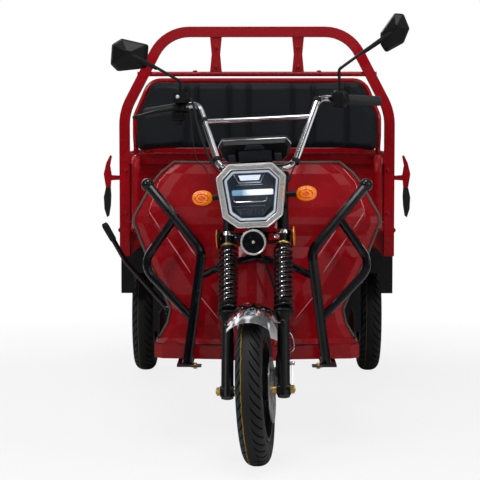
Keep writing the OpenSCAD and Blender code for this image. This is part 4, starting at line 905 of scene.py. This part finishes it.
class TRICYCLE_OT_backrest(bpy.types.Operator):
    """Stuffs the backrest pad and sews its upright channels"""

    bl_idname = "tricycle.backrest"
    bl_label = "Backrest"

    threads_mm = (-258, -221, -103, -31, 131, 205, 330)
    corner, shoulder, thread, pull, crumple = 0.024, 0.062, 0.0065, 0.030, 0.0016

    def execute(self, context):
        sizes = context.scene.tricycle_sizes
        low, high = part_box("backrest_pad")
        # The cover's lower edge hangs over the headboard's bar, and its top reaches the rail above
        low = low - Vector((0.020, 0, 0.017))
        high = high + Vector((0.020, 0, 0.008))
        swell = sizes.swell * 0.7
        tall = high.z - low.z
        left, right, middle = low.x + swell, high.x - swell, low.z + tall / 2
        outline = rounded([(left, low.z + swell), (right, low.z + swell), (right, middle),
                           (right - self.shoulder, high.z - swell), (left + self.shoulder, high.z - swell),
                           (left, middle)], self.corner)
        layers = [(0.006, high.y), (0.0, high.y - 0.008), (0.0, low.y + 0.026), (0.004, low.y + 0.016),
                  (0.014, low.y + swell)]
        form = Form().loft([[Vector((p.x, y, p.y)) for p in offset(outline, d)] for d, y in layers])

        def keep(p):
            return Vector((p.x, clamp(p.y, low.y, high.y), p.z))

        pad = swollen(form, "backrest_cover", sizes, keep)
        deep = high.y - low.y
        threads = [t * MM for t in self.threads_mm]
        for vertex in pad.data.vertices:
            front = clamp((high.y - vertex.co.y) / deep)
            groove = sum(channel(vertex.co.x - t, self.thread) for t in threads)
            pull = sum(channel(vertex.co.x - t, self.pull) for t in threads)
            vertex.co.y += (1.2 * sizes.seam * groove + 0.006 * pull) * front ** 3
            vertex.co.z -= 0.004 * groove * max(0.0, (vertex.co.z - low.z) / tall - 0.8) * 5 * front
            vertex.co.y += self.crumple * noise.noise(vertex.co * 11) * front
        upholster(pad, "chassis", "backrest_pad", "backrest_vinyl_shaded_seams")
        return {"FINISHED"}


def lamp_place():
    """The headlight's place: X across, Y up and Z forwards, from the middle of its face."""
    low, high = straight_box("headlight_bezel")
    return front_face(Vector((0, low.y, (low.z + high.z) / 2)))


def lamp_outline(inwards):
    """The lamp's eight-sided outline, drawn in from the surround's edge, in millimetres."""
    low, high = straight_box("headlight_bezel")
    half_x, half_z = high.x / MM, (high.z - low.z) / 2 / MM
    corners = mirrored([(0.432, -1), (0.855, -0.65), (1, 0.58), (0.618, 1)])
    return rounded(offset([(x * half_x, z * half_z) for x, z in corners], inwards), 9, 3)


def lamp_skin(form, section, place, closed):
    """Joins outlines of the lamp, each given by its inset, its height and its share of the full size."""
    return form.loft([[place @ Vector((p.x * share, p.y * share, z)) for p in lamp_outline(inset)]
                      for inset, z, share in section], closed)


def lamp_ring(outer, inner, back, front, place):
    """A flat ring between two outlines, from back to front."""
    section = [(outer, back, 1), (outer, front, 1), (inner, front, 1), (inner, back, 1)]
    return lamp_skin(Form(), section, place, True)


class TRICYCLE_OT_headlight(bpy.types.Operator):
    """Fits out the headlight behind its lens"""

    bl_idname = "tricycle.headlight"
    bl_label = "Headlight"

    # Wall and back of the reflector: inset, height and share of the full size
    wall_mm = ((24.5, -22.5, 1), (26, -40, 0.95), (26, -55, 0.86),
               (29, -55, 0.85), (29, -41, 0.93), (29, -22.5, 1))
    back_mm = ((31, -52, 1), (31, -54, 1))
    lip_up_mm = -26

    def execute(self, context):
        place = lamp_place() @ SCALE_MM
        tub = lamp_skin(Form(), self.wall_mm, place, True)
        lamp_skin(tub, self.back_mm, place, False)
        piece("lamp_tub", tub, "steering", "lamp_grey", "black_plastic")
        piece("lamp_light_ring", lamp_ring(23, 30, -22, -16.5, place), "steering", "halo", "clear_lens")
        diodes = Form().prism([(-42, 63), (-35, 47), (22, 47), (29, 63)], -34, -30, place, 1)
        piece("lamp_diodes", diodes, "steering", "lit", "clear_lens")
        lips = Form()
        cup = [(-55, 67), (-41, 41), (28, 41), (42, 67)]
        basket = rounded([(-60, 14), (-60, -20), (46, -20), (46, 14)], 12)[5:15]
        for line, radius in ((cup, 2.6), (basket, 2.4)):
            lips.sweep([place @ Vector((*p, self.lip_up_mm)) for p in line], radius * MM)
        lips.slab((-50, 32, -45), (34, 34.5, -34), place, 0.8)
        lips.slab((-64, -34, -45), (38, -32.5, -34), place, 0.5)
        piece("lamp_lips", lips, "steering", "chrome")
        # The projector keeps a place of its own, because its glow fades along its X axis
        bar = Form().lathe([(0, 0), (7, 0), (9, 3), (9, 126), (7, 129), (0, 129)],
                           facing(ACROSS * -60 * MM, ACROSS) @ SCALE_MM, 28)
        middle = Matrix.Translation(Vector((-4, 9, -35)) * MM)
        piece("lamp_projector", bar, "steering", "beam", "clear_lens",
              place=lamp_place() @ middle @ Matrix.Rotation(-math.pi / 2, 4, "X"))
        module = Form().prism([(-60, -38), (-42, -66), (34, -66), (52, -38)], -48, -33, place, 2)
        for x in range(-42, 31, 12):
            module.slab((x, -61, -34), (x + 4, -42, -29), place, 0.8)
        for side in SIDES:
            module.slab((side * 66 - 6, -22, -48), (side * 66 + 6, 30, -36), place, 2)
        piece("lamp_module", module, "steering", "lamp_grey", "black_plastic")
        return {"FINISHED"}


class TRICYCLE_OT_lamp_surround(bpy.types.Operator):
    """Adds the tab, the lines, the vent and the side marker of the headlight's surround"""

    bl_idname = "tricycle.lamp_surround"
    bl_label = "Lamp surround"

    def execute(self, context):
        place = lamp_place() @ SCALE_MM
        tab = Form().prism([(-52, 96), (-43, 86), (43, 86), (52, 96)], -4, 3, place, 1.2)
        piece("lamp_tab", tab, "steering", "silver_trim")
        lines = Form()
        for inset in (2.2, 17.5):
            lines.rod([p.to_3d() for p in lamp_outline(inset)], 2.0, place)
        piece("lamp_lines", lines, "steering", "bright", "silver_trim")
        piece("lamp_gap", lamp_ring(19.8, 22.6, -4, 0.6, place), "steering", "black_plastic")
        vent = Form()
        along, out = Vector((-1, 1, 0)).normalized(), Vector((1, 1, 0)).normalized()
        for row in range(4):
            for column in range(8):
                spot = Vector((80.5, 70.5, 0)) + along * (column - 3.5) * 3.4 + out * (row - 1.5) * 2.6
                vent.lathe([(0, 0), (1.1, 0), (0.9, 0.4), (0, 0.4)], place @ Matrix.Translation(spot), 6)
        piece("lamp_vent", vent, "steering", "black_plastic")
        marker = Form().slab((96, -14, -3), (100.5, 20, 1.4), place, 0.6)
        piece("lamp_marker", marker, "steering", "amber_lens")
        return {"FINISHED"}


class TRICYCLE_OT_signals(bpy.types.Operator):
    """Moulds the ribbed amber turn signals"""

    bl_idname = "tricycle.signals"
    bl_label = "Turn signals"

    ripple, ribs, steps, sunk = 0.9 * MM, 8, 30, 0.6 * MM
    # Half width, half height and thickness of the rings behind each lens
    rings = ((0.021, 0.013, 0.0020), (0.0075, 0.0045, 0.0030))

    def execute(self, context):
        low, high = straight_box("turn_signals")
        middle = (low + high) / 2
        radius = (high.z - low.z) / 2
        inner = min(abs(p.x) for p in points_from(TURN, "turn_signals"))
        reach = high.x - inner
        profile = [(0.0, 0.0)]
        for k in range(self.steps + 1):
            t = k / self.steps
            swell = math.cos(math.asin(2 * t - 1))
            rib = self.ripple * (math.cos(math.tau * self.ribs * t) * swell - 1)
            profile.append((max(radius * swell ** 0.85 + rib, 0.0), reach * t))
        profile.append((0.0, reach))
        for name, side in (("left", 1), ("right", -1)):
            place = TURN @ facing((side * inner, middle.y, middle.z), (side, 0, 0))
            piece("turn_signal_" + name, Form().lathe(profile, place, 40), "steering", "amber_lens",
                  replaces=("turn_signals",) if side == 1 else (), sharp=50)
            front = front_face(Vector((side * (inner + high.x) / 2, middle.y - radius, middle.z)))
            inside = Form()
            for wide, tall, thick in self.rings:
                loop = []
                for a in turns(40):
                    x, y = wide * math.cos(a), tall * math.sin(a)
                    fall = radius - math.sqrt(radius ** 2 - y ** 2) + (x / reach) ** 2 * radius
                    loop.append(Vector((x, y, -fall - self.sunk)))
                inside.rod(loop, thick, front)
            piece("turn_signal_rings_" + name, inside, "steering", "amber_deep", "amber_lens")
        return {"FINISHED"}


class TRICYCLE_OT_horn(bpy.types.Operator):
    """Adds the horn's plated rim, rings and dome"""

    bl_idname = "tricycle.horn"
    bl_label = "Horn"

    # Rim, as shares of the horn's radius and heights; its outermost part is waved
    section = ((1.0, -0.012), (1.015, -0.004), (0.99, 0.0012), (0.93, 0.002), (0.86, 0.0008), (0.85, -0.006))
    lobes, wave, waved_from = 24, 0.012, 0.95

    def execute(self, context):
        low, high = straight_box("horn")
        radius = (high.x - low.x) / 2
        place = front_face(Vector((0, low.y, low.z + radius)))
        rings = []
        for share, z in self.section:
            wave = self.wave if share > self.waved_from else 0.0
            reach = [(a, radius * (share + wave * math.cos(self.lobes * a))) for a in turns(120)]
            rings.append([place @ Vector((r * math.cos(a), r * math.sin(a), z)) for a, r in reach])
        rim = Form().loft(rings, closed=True)
        rim.lathe([(0, -0.008), (0.0055, -0.008), (0.005, -0.004), (0.003, -0.002), (0, -0.0015)], place, 24)
        piece("horn_rim", rim, "steering", "silver_trim")
        profile = [(0.006, -0.0065)]
        for k in range(6):
            r, up = 0.0085 + k * 0.0043, 0.0006 * k
            profile += [(r, -0.0105 + up), (r + 0.0012, -0.0085 + up), (r + 0.0030, -0.0085 + up)]
        profile += [(0.0355, -0.004), (0.0355, -0.014), (0.006, -0.014)]
        piece("horn_dish", Form().lathe(profile, place, 48, closed=True), "steering", "black_paint")
        return {"FINISHED"}


class TRICYCLE_OT_mudguard(bpy.types.Operator):
    """Rolls the plated front mudguard, cut clear of the fork"""

    bl_idname = "tricycle.mudguard"
    bl_label = "Front mudguard"

    def execute(self, context):
        radius, half, drop, sheet = 266 * MM, 64 * MM, 31 * MM, 3 * MM
        ahead, behind, steps, across = 33, 60, 62, 22
        crown = [(radius - drop * abs(k / across) ** 2.4, half * k / across)
                 for k in range(-across, across + 1)]
        section = crown + [(r - sheet, x) for r, x in reversed(crown)]
        rings = []
        for k in range(steps + 1):
            a = math.radians(ahead - (ahead + behind) * k / steps)
            rings.append([TURN @ (FRONT_AXLE + Vector((x, -r * math.sin(a), r * math.cos(a))))
                          for r, x in section])
        fork = TRICYCLE_OT_fork_trim
        leg, back, up = fork.leg_mm, fork.back_mm, fork.spring_low_mm
        forms = [Form().loft(rings), Form().slab((-leg, back - 14, up - 8), (leg, back + 14, up + 2), FORK_MM)]
        for side in SIDES:
            place = FORK @ Matrix.Translation(Vector((side * leg, back, up)) * MM)
            forms.append(Form().lathe([(37 * MM, -40 * MM), (37 * MM, 40 * MM)], place, 64))
        blanks = [bpy.data.objects.new("blank", form.mesh("blank")) for form in forms]
        for blank in blanks:
            context.scene.collection.objects.link(blank)
        guard, *tools = blanks
        for tool in tools:
            cut = guard.modifiers.new("cut", "BOOLEAN")
            cut.object, cut.operation, cut.solver = tool, "DIFFERENCE", "EXACT"
        mesh = bpy.data.meshes.new_from_object(guard.evaluated_get(context.evaluated_depsgraph_get()))
        for blank in blanks:
            bpy.data.objects.remove(blank)
        mesh.shade_smooth()
        mesh.set_sharp_from_angle(angle=math.radians(35))
        piece("front_mudguard", mesh, "steering", "chrome", replaces=("front_fender",))
        return {"FINISHED"}


class TRICYCLE_OT_fork_trim(bpy.types.Operator):
    """Adds the fork's springs, rings, gaiters, ribs, stays and bolts"""

    bl_idname = "tricycle.fork_trim"
    bl_label = "Fork trim"

    leg_mm = 86
    back_mm = -32
    spring_low_mm = 250
    yoke_low_mm = 488
    yoke_top_mm = 512

    def execute(self, context):
        self.springs()
        self.legs()
        self.brake_wire()
        self.yoke()
        return {"FINISHED"}

    def springs(self):
        """Winds the outer springs of thick black wire."""
        ups = [p.z for p in points_from(FORK, "fork_springs")]
        wire, radius, coils, steps = 4.1 * MM, 27 * MM, 13, 22
        low, high = min(ups) + wire, max(ups) - wire
        form = Form()
        for side in SIDES:
            leg = Vector((side * self.leg_mm, self.back_mm, 0)) * MM
            path = []
            for k in range(coils * steps + 1):
                a = math.tau * k / steps
                up = low + (high - low) * k / (coils * steps)
                path.append(FORK @ (leg + Vector((radius * math.cos(a), radius * math.sin(a), up))))
            form.sweep(path, wire)
        piece("fork_spring_coils", form, "steering", "spring_steel", replaces=("fork_springs",))

    def legs(self):
        """Dresses both legs with rings, gaiters, ribs and stays."""
        gold, silver, black = Form(), Form(), Form()
        folds = [p for k in range(4) for p in ((31 - 1.5 * k, 3 + 9 * k), (23, 7.5 + 9 * k))]
        parts = (
            (gold, self.yoke_low_mm - 18, [(20, 0), (24, 0), (25, 2), (25, 5), (24, 7), (20, 7)]),
            (silver, self.yoke_top_mm - 11, [(20, 0), (25.4, 0), (26, 2), (26, 13), (24, 15), (20, 15)]),
            (black, self.spring_low_mm + 0.4, [(14, 0), *folds, (14, 36)]),
        )
        stay_mm, back = 208, self.back_mm
        for side in SIDES:
            x = side * self.leg_mm
            for form, up, profile in parts:
                form.lathe(profile, FORK_MM @ facing((x, back, up), UP), 40, closed=True)
            for k in range(7):
                rib, up = x + side * 15, 102 + 12.5 * k
                black.slab((rib - 4.5, back - 9, up), (rib + 5.5, back + 9, up + 6), FORK_MM, 1.2)
            black.bolt(FORK_MM @ facing((side * 54, -47, 500), -BACK), 15)
            black.sweep([fork_point(x, back - 14, stay_mm), fork_point(x - side * 24, back - 18, stay_mm - 2)],
                        4 * MM, 10)
            black.bolt(FORK_MM @ facing((x, back - 19, stay_mm), -BACK), 12)
        piece("fork_gold_rings", gold, "steering", "brass")
        piece("fork_silver_rings", silver, "steering", "chrome")
        piece("fork_black_trim", black, "steering", "black_paint")

    def brake_wire(self):
        wire = Form()
        loop = [(103, -34, 182), (111, -36, 172), (118, -37, 150), (118, -37, 126), (108, -35, 116)]
        wire.sweep(smooth_path([fork_point(*p) for p in loop]), 1.3 * MM)
        wire.lathe([(0, 0), (5.5, 0), (6, 2), (6, 15), (4, 17), (0, 17)],
                   FORK_MM @ facing((104, -38, 80), ACROSS), 20)
        wire.sweep([fork_point(*p) for p in ((112, -38, 76), (113, -36, 50), (111, -33, 16))], 1.6 * MM)
        piece("fork_brake_wire", wire, "steering", "chrome")

    def yoke(self):
        """Adds the backs of the reflectors and the tab that holds the hose."""
        backs = Form()
        dish = [(7.2, 0.2), (7.6, 0.2), (7.6, 3), (30, 3), (31.5, 4),
                (31.5, 10), (30.3, 10), (30.3, 3.9), (7.2, 3.9)]
        for side in SIDES:
            place = FORK_MM @ facing((side * (self.leg_mm + 24), self.back_mm, 500), (side, 0, 0))
            backs.lathe(dish, place, 40, closed=True)
        piece("reflector_backs", backs, "steering", "black_plastic")
        tab = Form().slab((44, -63, 478), (80, -59, 499), FORK_MM, 1)
        tab.slab((58, -63, 505), (78, -59, 516), FORK_MM, 1)
        piece("fork_hose_tab", tab, "steering", "red_paint")
        head = Form().bolt(FORK_MM @ facing((69, -63, 489), -BACK), 12)
        piece("fork_hose_bolt", head, "steering", "disc_steel")


def bar_point(x, back, up):
    """A point of the handlebar with the fork straight ahead, in millimetres from its seat on the yoke."""
    return TURN.inverted() @ fork_point(0, 0, 752) + Vector((x, back, up)) * MM


class TRICYCLE_OT_handlebar_trim(bpy.types.Operator):
    """Ties the cables to the handlebar and adds the lead, the mirrors' sleeves and the switches"""

    bl_idname = "tricycle.handlebar_trim"
    bl_label = "Handlebar trim"

    bar_r = 11 * MM
    # Corners of the bar's left half: across, back and up from its seat
    knee_mm, bend_mm, end_mm = (118, 0, 0), (198, 151, 218), (389, 260, 200)
    # Places along each half of the bar, as shares from its knee up to its bend
    ties = ((-1, 0.15), (-1, 0.74), (1, 0.08), (1, 0.97))
    # Lead from the left control down behind the headlight: across, behind the axle and up
    lead_mm = ((190, 520, 1090), (164, 440, 1010), (138, 382, 938), (128, 350, 905), (118, 300, 878),
               (112, 262, 860), (102, 246, 834), (97, 243, 800))
    # Ends of the mirrors' stems, from the bar's seat
    stems_mm = (((-334, 171, 343), (-424, 150, 397)), ((352, 172, 360), (452, 152, 421)))
    sleeve_mm = (6.2, 7, 7.6, 8, 8, 8, 6)
    drum_mm = ((11.4, -22), (24, -22), (28, -18), (28, 4), (29, 6),
               (29, 8), (28, 10), (26, 20), (22, 23), (11.4, 23))

    def execute(self, context):
        knee, bend = bar_point(*self.knee_mm), bar_point(*self.bend_mm)
        r, half = self.bar_r, context.scene.tricycle_sizes.tie / 2
        inner, outer, crown = r + 0.0003, r + 0.0022, r + 0.003
        bands = Form()
        for side, share in self.ties:
            flip = Vector((side, 1, 1))
            place = TURN @ facing(knee.lerp(bend, share) * flip, (bend - knee).normalized() * flip)
            bands.lathe([(inner, -half), (outer, -half), (crown, 0), (outer, half), (inner, half)], place, 28,
                        closed=True)
            bands.slab((r, -0.004, -0.003), (r + 0.007, 0.004, 0.003), place, 0.0008)
        piece("handlebar_ties", bands, "steering", "rubber")
        lead = Form().sweep(smooth_path([turned(*p) for p in self.lead_mm]), 2.6 * MM)
        start, end = turned(113, 268, 863), turned(106, 251, 844)
        lead.lathe([(0, 0), (5, 0), (6.5, 3), (6.5, 18), (4, 24), (0, 24)],
                   facing(start, end - start) @ SCALE_MM, 12)
        piece("handlebar_lead", lead, "steering", "rubber")
        self.sleeves()
        self.switches()
        return {"FINISHED"}

    def sleeves(self):
        """Sleeves at the mirrors' ends of their stems."""
        form = Form()
        last = len(self.sleeve_mm) - 1
        for start, end in self.stems_mm:
            path = [TURN @ bar_point(*Vector(start).lerp(Vector(end), k / last)) for k in range(last + 1)]
            form.sweep(path, [r * MM for r in self.sleeve_mm], 14)
        piece("mirror_sleeves", form, "steering", "rubber")

    def switches(self):
        """Switch housings round the handlebar, the brake lever's ball and the reservoir's screw."""
        bend, end = bar_point(*self.bend_mm), bar_point(*self.end_mm)
        drum = TURN @ facing(bend.lerp(end, 0.36), end - bend) @ SCALE_MM
        form = Form().lathe(self.drum_mm, drum, 32, closed=True)
        under = TURN @ Matrix.Translation(bend.lerp(end, 0.40) * Vector((-1, 1, 1))) @ SCALE_MM
        form.slab((-20, -17, -46), (18, 16, -12), under, 4)
        form.slab((-8, -20, -58), (10, 4, -44), under, 3)
        for x in (-12, 0, 12):
            form.lathe([(0, 0), (4, 0), (4, 3), (3, 4), (0, 4)], under @ facing((x, -17, -28), -BACK), 14)
        points = points_from(TURN, "controls")
        tip = min(p.x for p in points)
        ball = TURN @ Matrix.Translation(mean([p for p in points if p.x < tip + 0.006]))
        form.ball(7.5 * MM, ball, 12, 20)
        piece("handlebar_switches", form, "steering", "black_plastic")
        spot = strike("controls", (-0.263, -3.0, 1.123), BACK)
        screw = Form().lathe([(0, -0.001), (0.006, -0.001), (0.006, 0.001), (0.0045, 0.0022), (0, 0.0026)],
                             facing(spot, TURN.to_3x3() @ -BACK), 20)
        piece("reservoir_screw", screw, "steering", "bright", "chrome")


class TRICYCLE_OT_instrument(bpy.types.Operator):
    """Adds a chrome bead along the instrument housing's lip as a painted highlight, and its panel and bosses"""

    bl_idname = "tricycle.instrument"
    bl_label = "Instrument"

    half_mm = [(88, -42), (108, -24), (117, 18), (104, 38)]
    tilt = math.radians(25)

    def execute(self, context):
        seat = Matrix.Translation(TURN.inverted() @ fork_point(0, -52, 794))
        place = TURN @ seat @ Matrix.Rotation(self.tilt, 4, "X") @ UPRIGHT @ SCALE_MM
        # Painted highlight: a thin chrome bead where the lip's gloss black edge catches the light
        lip = [p for p in offset(rounded(mirrored(self.half_mm), 8, 4), 0.4) if p.y > -10]
        lip.sort(key=lambda p: math.atan2(p.y + 40, -p.x))
        edge = Form().sweep([place @ Vector((p.x, p.y, 1.2)) for p in lip], 1.5 * MM)
        piece("instrument_lip_highlight", edge, "steering", "chrome")
        panel = Form().prism([(-54, -36), (54, -36), (54, 2), (40, 6), (-40, 6), (-54, 2)], 8, 16, place, 4)
        panel.prism([(-34, 10), (34, 10), (24, 26), (-24, 26)], 17, 19.5, place, 1.2)
        panel.lathe([(0, 0), (3, 0), (3, 2.5), (0, 3)], place @ Matrix.Translation((0, 18, 19)), 12)
        for side in SIDES:
            panel.slab((side * 74 - 11, -31, 15), (side * 74 + 11, -6, 23), place, 2.5)
        piece("instrument_panel", panel, "steering", "slate", "black_plastic")
        return {"FINISHED"}


class TRICYCLE_OT_body_trim(bpy.types.Operator):
    """Adds the body's bolts, foot plates, painted highlights along the creases, knobs, flaps and seam"""

    bl_idname = "tricycle.body_trim"
    bl_label = "Body trim"

    # Painted highlight strands along the pressed creases of the leg shield, each from end to end as across and up,
    # and its thickness
    creases_mm = (
        ((353, 747), (316, 692), 2.0), ((294, 664), (214, 550), 2.2), ((257, 689), (198, 605), 2.0),
        ((186, 479), (124, 405), 1.6), ((283, 888), (323, 842), 1.5), ((323, 842), (353, 747), 1.5),
    )

    def execute(self, context):
        width = context.scene.tricycle_sizes.bolt
        self.feet(width)
        self.creases()
        self.knobs()
        self.flaps()
        self.seam()
        self.headboard(width)
        return {"FINISHED"}

    def feet(self, width):
        """Bolts the crash bar's feet down on their plates."""
        gold, plates = Form(), Form()
        thick = 0.006
        for side in SIDES:
            foot = Vector((side * 0.196, FRONT_AXLE.y + 0.266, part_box("crash_bar")[0].z))
            plates.slab((-0.020, -0.02, 0), (0.014, 0.02, thick),
                        Matrix.Translation(foot) @ Matrix.Diagonal((side, 1, 1, 1)), 0.0012)
            gold.bolt(facing(foot + UP * thick, UP), width)
            gold.bolt(facing(foot, -UP), width)
        piece("crash_bar_bolts", gold, "chassis", "brass")
        piece("crash_bar_feet", plates, "chassis", "black_paint")

    def creases(self):
        """Lays pale red strands along the pressed creases of the leg shield, as painted highlights."""
        form, last = Form(), 24
        for start, end, thick in self.creases_mm:
            tapered = [min(1.0, 0.25 + 0.2 * min(k, last - k)) * thick * MM for k in range(last + 1)]
            for side in SIDES:
                path = []
                for k in range(last + 1):
                    x, z = Vector(start).lerp(Vector(end), k / last) * MM
                    path.append(strike("leg_shield", (side * x, -3.0, z), BACK))
                form.sweep(path, tapered, 6)
        # Painted highlight: the strands take the pale crease red
        piece("shield_crease_highlights", form, "chassis", "crease_highlight_paint", "red_paint")

    def knobs(self):
        """Ball ends of the crash bar and the grip of the parking lever."""
        balls = Form()
        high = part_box("crash_bar")[1].z
        top = [v.co for v in frame["nodes"]["crash_bar"].data.vertices if v.co.z > high - 0.004]
        for side in SIDES:
            middle = mean([p for p in top if p.x * side > 0]) - UP * 0.018
            balls.ball(0.0215, Matrix.Translation(middle), 16, 28)
        piece("crash_bar_balls", balls, "chassis", "black_paint")
        lever = [v.co for v in frame["nodes"]["control_levers"].data.vertices if v.co.x < -0.52]
        grip = Form().lathe([(0, -0.004), (0.008, -0.003), (0.0115, 0.003), (0.0125, 0.012), (0.0115, 0.062),
                             (0.0095, 0.068), (0.0092, 0.068), (0, 0.068)],
                            facing((-0.541, mean(lever).y, 0.679), (78, 0, -138)), 20)
        piece("parking_lever_grip", grip, "chassis", "rubber")

    def flaps(self):
        """Hangs a rubber flap from each chassis rail, ahead of the rear wheel."""
        form, thick, drop = Form(), 0.004, 0.222
        for side in SIDES:
            place = Matrix.Translation(strike("chassis_rails", (side * 0.372, 0.287, 0.3), UP))
            form.slab((-0.036, -0.008, -0.020), (0.036, 0.008, 0.0), place, 0.0015)
            rings = []
            for k in range(10):
                t = k / 9
                half, bow = 0.034 + 0.006 * t, -0.0125 + 0.014 * t * t
                row = [(half * (j / 4 - 1), bow - thick * (1 - (j / 4 - 1) ** 2)) for j in range(9)]
                outline = row + [(x, y + thick) for x, y in reversed(row)]
                rings.append([place @ Vector((x, y, -0.003 - drop * t)) for x, y in outline])
            form.loft(rings)
            for x in (-0.022, 0.022):
                form.bolt(place @ facing((x, -0.014, -0.010), -BACK), 0.010)
        piece("mud_flaps", form, "chassis", "rubber")

    def seam(self):
        """Runs a rubber bead along the apron's top edge."""
        top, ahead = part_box("apron")[1].z, {}
        for vertex in frame["nodes"]["apron"].data.vertices:
            x, y, z = vertex.co
            if z > top - 0.002 and abs(x) < 0.37:
                key = round(x, 3)
                ahead[key] = min(ahead.get(key, y), y)
        line = [Vector((x, y - 0.0005, top)) for x, y in sorted(ahead.items())]
        piece("apron_seam", Form().sweep(line, 2.4 * MM), "chassis", "rubber")

    def headboard(self, width):
        """Bolts the headboard's posts and bars."""
        low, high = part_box("headboard_hoop")
        middle = (low.y + high.y) / 2
        red = Form()
        for side in SIDES:
            for z in (0.70, 0.86):
                red.bolt(facing((side * (high.x - 0.024), low.y, z), -BACK), width)
            for z in (1.246, 1.318):
                red.bolt(facing((side * 0.153, middle - 0.008, z), -BACK), width)
            red.lathe([(0, 0), (0.009, 0), (0.008, 0.004), (0, 0.006)],
                      facing((side * 0.231, middle, 1.2285), UP), 16)
        piece("headboard_bolts", red, "chassis", "red_paint")


class TRICYCLE_OT_stage(bpy.types.Operator):
    """Sets up the floor, the light and the camera"""

    bl_idname = "tricycle.stage"
    bl_label = "Stage"

    # Name, place, target, width, height and power of each soft light
    lights = (
        ("key", (-3.4, -4.4, 3.6), (0.0, -0.6, 0.7), 1.2, 2.0, 60.0),
        ("fill", (4.0, -3.8, 2.4), (0.0, -0.6, 0.6), 0.9, 2.2, 38.0),
        ("top", (0.0, -2.0, 4.6), (0.0, -0.9, 0.3), 1.6, 2.4, 76.0),
        ("back", (-1.8, 4.4, 3.2), (0.0, 0.6, 0.6), 3.0, 2.0, 45.0),
    )

    def execute(self, context):
        scene, stage = context.scene, context.scene.tricycle_stage
        scene.view_settings.view_transform = "Standard"
        self.camera(scene, stage)
        for name, place, target, width, height, power in self.lights:
            data = bpy.data.lights.new(name, "AREA")
            data.shape, data.size, data.size_y, data.energy = "RECTANGLE", width, height, power
            lamp = bpy.data.objects.new(name, data)
            lamp.location = place
            lamp.rotation_euler = (Vector(target) - Vector(place)).to_track_quat("-Z", "Y").to_euler()
            scene.collection.objects.link(lamp)
        self.floor(scene, stage)
        self.world(scene)
        return {"FINISHED"}

    def camera(self, scene, stage):
        camera = bpy.data.objects.new("camera", bpy.data.cameras.new("camera"))
        camera.data.lens = stage.lens
        camera.location = (0.0, FRONT_AXLE.y - stage.ahead, stage.height)
        camera.rotation_euler = (math.pi / 2 - stage.pitch, 0.0, stage.yaw)
        scene.collection.objects.link(camera)
        scene.camera = camera

    def floor(self, scene, stage):
        half = 14.0
        form = Form().slab((-half, -half, -0.02), (half, half, -0.0004), Matrix.Identity(4))
        floor = bpy.data.objects.new("floor", form.mesh("floor"))
        scene.collection.objects.link(floor)
        coat = Coat("studio_floor")
        base = coat.mix(coat.noise(0.6, 2) * 0.1, stage.floor, (0.8, 0.8, 0.8))
        coat.set({"Base Color": base, "Roughness": 0.9})
        reach = coat.node("ShaderNodeVectorMath", {"operation": "LENGTH"}, {0: coat.place()}, output=1)
        glow = coat.node("ShaderNodeEmission", sockets={"Color": (1.0, 1.0, 1.0), "Strength": 1.0})
        share = (coat.ray("Camera") + coat.ray("Transmission")) * coat.spread(reach, 1.2, 2.8, 0.84, 1.0)
        paint = Val(coat, coat.shader.outputs[0])
        mixed = coat.node("ShaderNodeMixShader", sockets={0: share, 1: paint, 2: glow})
        coat.feed(coat.tree.nodes["Material Output"].inputs["Surface"], mixed)
        floor.data.materials.append(coat.owner)

    def world(self, scene):
        scene.world = bpy.data.worlds.new("studio")
        coat = Coat("studio", scene.world)
        up = coat.across("Z", "Generated")
        camera, gloss, glass = coat.ray("Camera"), coat.ray("Glossy"), coat.ray("Transmission")
        # Gloss mirrors a showroom: dark low down, paler above, with bright windows here and there
        patch = coat.noise(3.2, 0.0, output="Generated")
        windows = coat.spread(patch, 0.54, 0.66) * coat.spread(up, -0.15, 0.25) * 1.1
        sky = coat.spread(up, 0.0, 0.9, 0.025, 0.18) + windows
        strength = camera + (1 - camera) * (glass + (1 - glass) * (0.15 + gloss * (sky - 0.15)))
        coat.set({"Color": (1.0, 1.0, 1.0), "Strength": strength})


class TRICYCLE_PT_steps(bpy.types.Panel):
    """Lists the steps of the making in the sidebar"""

    bl_label = "Cargo tricycle"
    bl_idname = "TRICYCLE_PT_steps"
    bl_space_type = "VIEW_3D"
    bl_region_type = "UI"
    bl_category = "Tricycle"

    def draw(self, context):
        for step in STEPS:
            self.layout.operator(step.bl_idname)


GROUPS = {
    "tricycle_colours": TricycleColours, "tricycle_sizes": TricycleSizes, "tricycle_stage": TricycleStage,
}
STEPS = (
    TRICYCLE_OT_stage, TRICYCLE_OT_finishes, TRICYCLE_OT_tyres, TRICYCLE_OT_seat_cushion,
    TRICYCLE_OT_backrest, TRICYCLE_OT_headlight, TRICYCLE_OT_lamp_surround, TRICYCLE_OT_signals,
    TRICYCLE_OT_horn, TRICYCLE_OT_mudguard, TRICYCLE_OT_fork_trim, TRICYCLE_OT_handlebar_trim,
    TRICYCLE_OT_instrument, TRICYCLE_OT_body_trim,
)


def register():
    for made in (*GROUPS.values(), *STEPS, TRICYCLE_PT_steps):
        bpy.utils.register_class(made)
    for name, group in GROUPS.items():
        setattr(bpy.types.Scene, name, bpy.props.PointerProperty(type=group))


def unregister():
    for name in GROUPS:
        delattr(bpy.types.Scene, name)
    for made in reversed((*GROUPS.values(), *STEPS, TRICYCLE_PT_steps)):
        bpy.utils.unregister_class(made)


def main():
    register()
    for step in STEPS:
        group, name = step.bl_idname.split(".")
        getattr(getattr(bpy.ops, group), name)()


if __name__ == "__main__":
    main()
